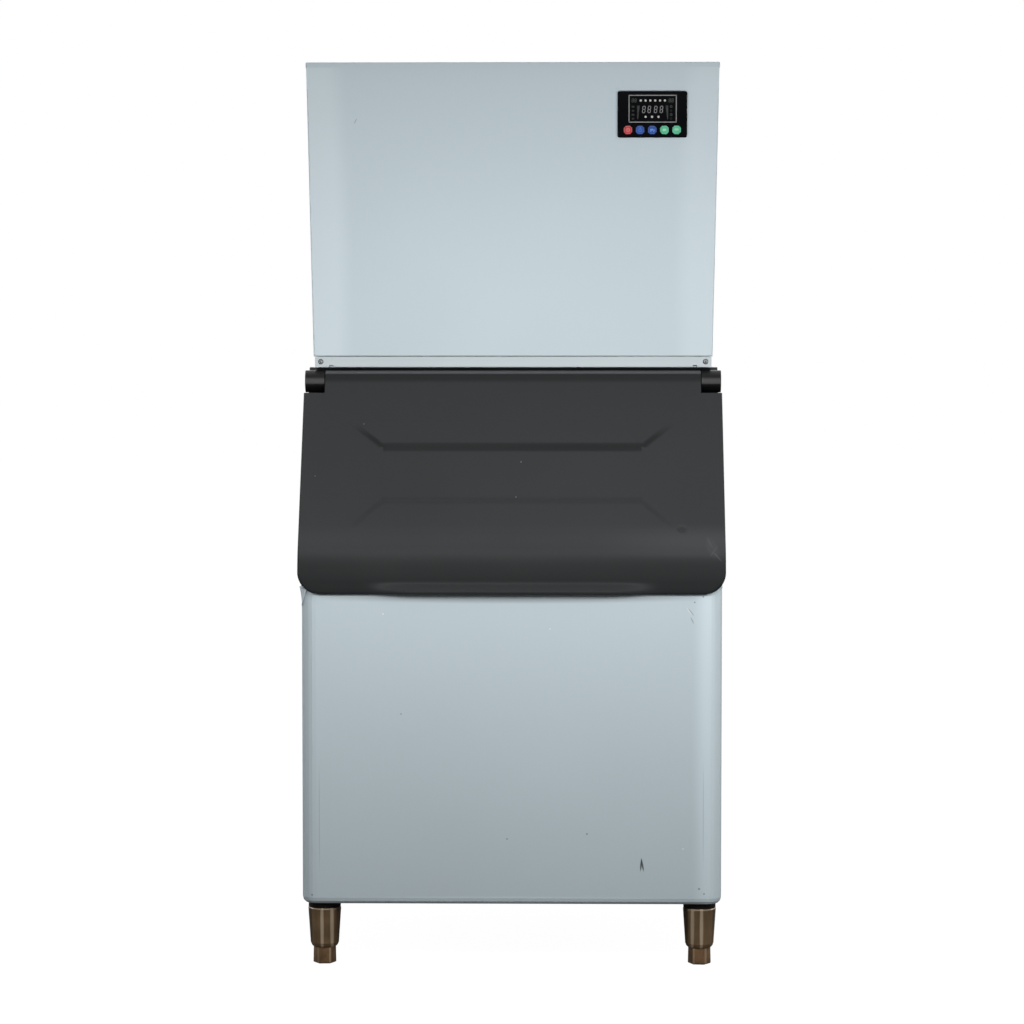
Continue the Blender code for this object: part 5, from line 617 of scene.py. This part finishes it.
# Panel screws: low round heads of plated steel with a cross recess, which hold the front panel to the
# tray. A dark cross on each head and a dark disc behind it, showing as a ring round the rim, are painted
# shade in the recess and in the gap round the head.
screw_out, screw_z, head_y, cross_y, rim_y = 0.3557, 1.0952, -0.2174, -0.2188, -0.21715
head_radius, head_height, rim_radius = 0.0040, 0.0021, 0.0049
slot_long, slot_wide, slot_deep, cross_turn = 0.0046, 0.0010, 0.0016, 24
head_steel = finish("head_steel", (0.42, 0.45, 0.46), 0.35, 0.5, grain_scale=900, cloud_scale=200, tint=0.10,
                    mottle=0.15, bump=0.1)
for label, along in (("left", -screw_out), ("right", screw_out)):
    screw = bmesh.new()
    arc = [screw.verts.new((head_radius * math.sin(angle), 0, -head_height * math.cos(angle)))
           for angle in (0.0, 0.35, 0.7, 1.05, 1.35, 1.57)]
    edges = [screw.edges.new(pair) for pair in zip(arc, arc[1:])]
    spin_round(screw, arc + edges, 24)
    bmesh.ops.remove_doubles(screw, verts=screw.verts, dist=0.00001)
    for vert in screw.verts:
        vert.co = (along + vert.co.x, head_y + vert.co.z, screw_z + vert.co.y)
    bmesh.ops.recalc_face_normals(screw, faces=screw.faces)
    screw_head = new_piece("screw_head_" + label, screw, head_steel, "machine", 60)
    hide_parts("panel_screw_" + label)
    cross = bmesh.new()
    for width, height in ((slot_long, slot_wide), (slot_wide, slot_long)):
        slot = bmesh.ops.create_cube(cross, size=1.0)["verts"]
        bmesh.ops.scale(cross, vec=(width, slot_deep, height), verts=slot)
        turn(cross, cross_turn, 'Y', slot)
        bmesh.ops.translate(cross, vec=(along, cross_y, screw_z), verts=slot)
    rim = bmesh.ops.create_circle(cross, cap_ends=True, radius=rim_radius, segments=24)["verts"]
    turn(cross, 90, 'X', rim)
    bmesh.ops.translate(cross, vec=(along, rim_y, screw_z), verts=rim)
    new_piece("screw_painted_shade_" + label, cross, painted_shade_black, "machine")

# Flared corner: a sliver of the bin casing's own steel edge, bent out under the lid's left end by a knock.
# It stands out most at its top and its outer side.
flare_x, flare_y, flare_z = -0.3800, -0.3600, 0.655
flare_width, flare_height, flare_bend, flare_depth = 0.012, 0.034, 0.0042, 0.0258
flare = bmesh.new()
bmesh.ops.create_grid(flare, x_segments=4, y_segments=6, size=0.5)
for vert in flare.verts:
    across, up = vert.co.x + 0.5, vert.co.y + 0.5
    vert.co = (flare_x - flare_bend * up * up * (1 - across) + flare_width * across * up,
               flare_y - flare_depth * across * (0.4 + 0.6 * up), flare_z + flare_height * up)
bmesh.ops.recalc_face_normals(flare, faces=flare.faces)
bmesh.ops.solidify(flare, geom=flare.faces, thickness=0.0008)
bmesh.ops.recalc_face_normals(flare, faces=flare.faces)
new_piece("corner_flare", flare, casing_steel, "machine")

# Control panel: a glossy black moulding, clipped into the front panel, with a smoked window and its lit
# figures. They are plain: a frame, rows of lamps, four numerals and two bar gauges, printed behind glass.
panel_frame = Matrix.Translation((0.255, -0.2610, 1.5459)) @ Matrix.Rotation(math.radians(4.02), 4, 'X')
on_glass, on_key, over_key = 0.00412, 0.00558, 0.00562
gloss_black = finish("gloss_black", (0.003, 0.0034, 0.0045), 0.12, grain_scale=300, cloud_scale=30, tint=0.1,
                     mottle=0.1, rough_spread=0.03, bump=0.01, specular=0.06)
dress(gloss_black, "control_bezel", "display_window")


def plate(bm, u, w, width, height, tone=0, slant=0.0, cut=0.0, out=on_glass):
    """A flat mark on the panel, its corners cut if asked, leaning to the right by its slant."""
    made = bmesh.ops.create_grid(bm, x_segments=1, y_segments=1, size=0.5)["verts"]
    bmesh.ops.scale(bm, vec=(width, height, 1), verts=made)
    faces = list({f for v in made for f in v.link_faces})
    if cut:
        bevelled = bmesh.ops.bevel(bm, geom=made, offset=cut, segments=3, profile=0.5, affect='VERTICES',
                                   material=-1)
        faces = list({f for v in bevelled["verts"] for f in v.link_faces})
    for vert in {v for f in faces for v in f.verts}:
        vert.co = (u + vert.co.x + slant * vert.co.y, -out, w + vert.co.y)
    for face in faces:
        face.material_index = tone


def disc(bm, u, w, radius, tone=0, hole=0.0, out=on_glass):
    """A round lamp or, with a hole, a ring."""
    made = bmesh.ops.create_circle(bm, cap_ends=True, radius=radius, segments=16)["verts"]
    face = made[0].link_faces[0]
    if hole:
        bmesh.ops.inset_individual(bm, faces=[face], thickness=radius - hole)
        rim = [f for v in made for f in v.link_faces if f is not face]
        around = {v for f in rim for v in f.verts}
        bmesh.ops.delete(bm, geom=[face], context='FACES_ONLY')
    else:
        rim, around = [face], set(made)
    for vert in around:
        vert.co = (u + vert.co.x, -out, w + vert.co.y)
    for each in rim:
        each.material_index = tone


def numeral(bm, u, w, width, height, stroke, tone=0, slant=0.09):
    """A figure eight in seven strokes."""
    for side in (-1, 1):
        for half in (-1, 1):
            plate(bm, u + side * width / 2 + slant * half * height / 4, w + half * height / 4, stroke,
                  height / 2 - stroke * 0.9, tone, slant, stroke * 0.3)
    for level in (-1, 0, 1):
        plate(bm, u + slant * level * height / 2, w + level * height / 2, width - stroke * 0.8, stroke, tone, 0,
              stroke * 0.3)


def set_on_panel(bm):
    """Move flat marks from the panel's own plane to its place on the machine."""
    for vert in bm.verts:
        vert.co = panel_frame @ vert.co
    bmesh.ops.recalc_face_normals(bm, faces=bm.faces)


white, grey, faint, dim = 0, 1, 2, 3
figures = bmesh.new()
for along, up, width, height in ((0.00055, 0.0346, 0.0876, 0.0016), (0.00055, -0.0139, 0.0876, 0.0016),
                                 (-0.0425, 0.01035, 0.0016, 0.0500), (0.0436, 0.01035, 0.0016, 0.0500)):
    plate(figures, along, up, width, height, grey)
for first, step, up, radius, lamps in ((-0.0212, 0.0088, 0.0252, 0.00205, 6),
                                       (-0.0122, 0.0117, -0.0043, 0.0021, 3)):
    for lamp in range(lamps):
        disc(figures, first + lamp * step, up, radius, white)
for along in (-0.0154, -0.0056, 0.0061, 0.0166):
    numeral(figures, along, 0.0091, 0.0046, 0.0118, 0.00105, grey)
for along in (-0.0358, -0.0307, 0.0316, 0.0367):
    numeral(figures, along, 0.0254, 0.0030, 0.0062, 0.0008, faint)
for bar in range(12):
    wide = 0.0048 - 0.0028 * bar / 11
    for along in (-0.0277 + wide / 2, 0.0290 - wide / 2):
        plate(figures, along, 0.0152 - bar * 0.0021, wide, 0.0010, faint)
for step, size in enumerate((0.0024, 0.0020, 0.0024, 0.0020)):
    plate(figures, -0.0352, 0.0140 - step * 0.0072, size * 2.2, size * 1.5, dim, 0, 0.0008)
    disc(figures, 0.0342, 0.0142 - step * 0.0072, size * 0.95, dim if step % 2 else faint, size * 0.62)
set_on_panel(figures)
print_look = dict(grain_scale=500, tint=0.05, bump=0.02, specular=0.1)
figure_tones = [finish("figure_" + label, tone, 0.5, cloud_scale=200, mottle=0.10, **print_look)
                for label, tone in (("white", (0.62, 0.63, 0.60)), ("grey", (0.34, 0.35, 0.34)),
                                    ("faint", (0.11, 0.115, 0.11)), ("dim", (0.035, 0.038, 0.033)))]
display_figures = new_piece("display_figures", figures, figure_tones[white], "machine")
for surface in figure_tones[1:]:
    display_figures.data.materials.append(surface)

# Keys: translucent plastic caps in red, blue and green that press in, each with a pale frame and a plain
# sign printed on it: a ring round a dot, a ring with a stroke, a small cart, two drops and a bar.
red, blue, green = (0.56, 0.040, 0.050), (0.022, 0.085, 0.40), (0.11, 0.60, 0.33)
red_rim, blue_rim, green_rim = (0.52, 0.20, 0.20), (0.10, 0.16, 0.38), (0.20, 0.62, 0.42)
key_tones = ((red, red_rim, (0.85, 0.30, 0.26)), (blue, blue_rim, (0.08, 0.28, 0.75)),
             (blue, blue_rim, (0.16, 0.34, 0.80)), (green, green_rim, (0.42, 0.86, 0.62)),
             (green, green_rim, (0.36, 0.80, 0.56)))
key_pitch, key_drop = 0.0222, -0.028
for number, (tone, rim_tone, sign_tone) in enumerate(key_tones, 1):
    dress(finish("key_%d" % number, tone, 0.34, grain_scale=600, cloud_scale=60, tint=0.04, mottle=0.05,
                 bump=0.03, specular=0.3), "button_%d" % number)
    sign = bmesh.new()
    middle = (number - 3) * key_pitch
    for across, up, width, height in ((0, 0.0064, 0.0095, 0.0010), (0, -0.0064, 0.0095, 0.0010),
                                      (-0.0069, 0, 0.0010, 0.0085), (0.0069, 0, 0.0010, 0.0085)):
        plate(sign, middle + across, up + key_drop, width, height, 1, 0, 0.0003, on_key)
    if number == 1:
        disc(sign, middle, key_drop, 0.0036, 0, 0.0026, on_key)
        disc(sign, middle, key_drop, 0.0011, 0, 0, on_key)
    elif number == 2:
        disc(sign, middle, -0.0286, 0.0030, 0, 0.0020, on_key)
        plate(sign, middle, -0.0244, 0.0012, 0.0026, 0, 0, 0.0004, on_key)
    elif number == 3:
        plate(sign, middle - 0.0010, -0.0276, 0.0060, 0.0034, 0, 0, 0.0009, on_key)
        disc(sign, middle - 0.0026, -0.0306, 0.0011, 0, 0, over_key)
        disc(sign, middle + 0.0026, -0.0306, 0.0011, 0, 0, over_key)
        plate(sign, middle + 0.0034, -0.0284, 0.0020, 0.0022, 0, 0, 0.0006, on_key)
    elif number == 4:
        disc(sign, middle - 0.0012, -0.0282, 0.0024, 0, 0, on_key)
        disc(sign, middle + 0.0016, -0.0276, 0.0019, 0, 0, over_key)
    else:
        plate(sign, middle, -0.0272, 0.0074, 0.0040, 0, 0, 0.0010, on_key)
    set_on_panel(sign)
    sign_print = finish("key_sign_tone_%d" % number, sign_tone, 0.5, cloud_scale=90, mottle=0.08, **print_look)
    key_sign = new_piece("key_sign_%d" % number, sign, sign_print, "key_%d" % number)
    rim_print = finish("key_rim_tone_%d" % number, rim_tone, 0.5, cloud_scale=90, mottle=0.08, **print_look)
    key_sign.data.materials.append(rim_print)

# Ice making: a cast gearbox with its cut gears, the stainless freezing barrel that stands on it with the
# auger inside, an enamelled drive motor, and the white plastic ducts that the ice leaves by.
cast_metal = finish("cast_metal", (0.30, 0.31, 0.32), 0.55, 0.8, grain_scale=350, cloud_scale=20, tint=0.15,
                    mottle=0.08, bump=0.4, relief=0.0004)
gear_steel = finish("gear_steel", (0.28, 0.27, 0.26), 0.32, 1.0, grain_scale=140, stretch=(1, 1, 5),
                    cloud_scale=30, tint=0.12, mottle=0.12, bump=0.1)
black_enamel = finish("black_enamel", (0.012, 0.012, 0.014), 0.35, grain_scale=420, cloud_scale=10, tint=0.1,
                      mottle=0.1, bump=0.08)
dress(cast_metal, "gearbox_case", "gearbox_cover")
dress(gear_steel, "auger_gear", "motor_pinion")
dress(stainless, "auger", "evaporator_barrel")
dress(white_plastic, "ice_spout", "ice_chute")
dress(black_enamel, "drive_motor")

# Refrigeration: an enamelled compressor, a condenser with aluminium fins, an aluminium fan on its cast
# motor in a black plastic hood, and copper lines brazed between the parts.
aluminium = finish("aluminium", (0.66, 0.67, 0.68), 0.34, 1.0, grain_scale=120, stretch=(1, 1, 5),
                   cloud_scale=16, tint=0.05, mottle=0.05, bump=0.05)
copper = finish("copper", (0.66, 0.32, 0.18), 0.28, 1.0, grain_scale=200, cloud_scale=35, tint=0.08, mottle=0.16,
                bump=0.05)
dress(black_enamel, "compressor")
dress(aluminium, "condenser", "condenser_fan")
dress(cast_metal, "fan_motor")
dress(black_plastic, "fan_shroud")
dress(copper, "discharge_line", "suction_line", "liquid_line")

# Water: a white plastic reservoir on its galvanised bracket, with a float on an arm, and a brass feed line
# with its valve that runs in from the inlet on the back.
brass = finish("brass", (0.62, 0.44, 0.19), 0.32, 1.0, grain_scale=200, cloud_scale=40, tint=0.08, mottle=0.12,
               bump=0.05)
dress(white_plastic, "water_reservoir", "float_arm")
dress(brass, "feed_line", "water_inlet")
dress(zinc_sheet, "reservoir_bracket")

# Electrical: a folded box of galvanised sheet, and the black plastic gland that a cord would come in by,
# screwed into the rear panel.
dress(zinc_sheet, "electrical_box")
dress(black_plastic, "cable_gland")
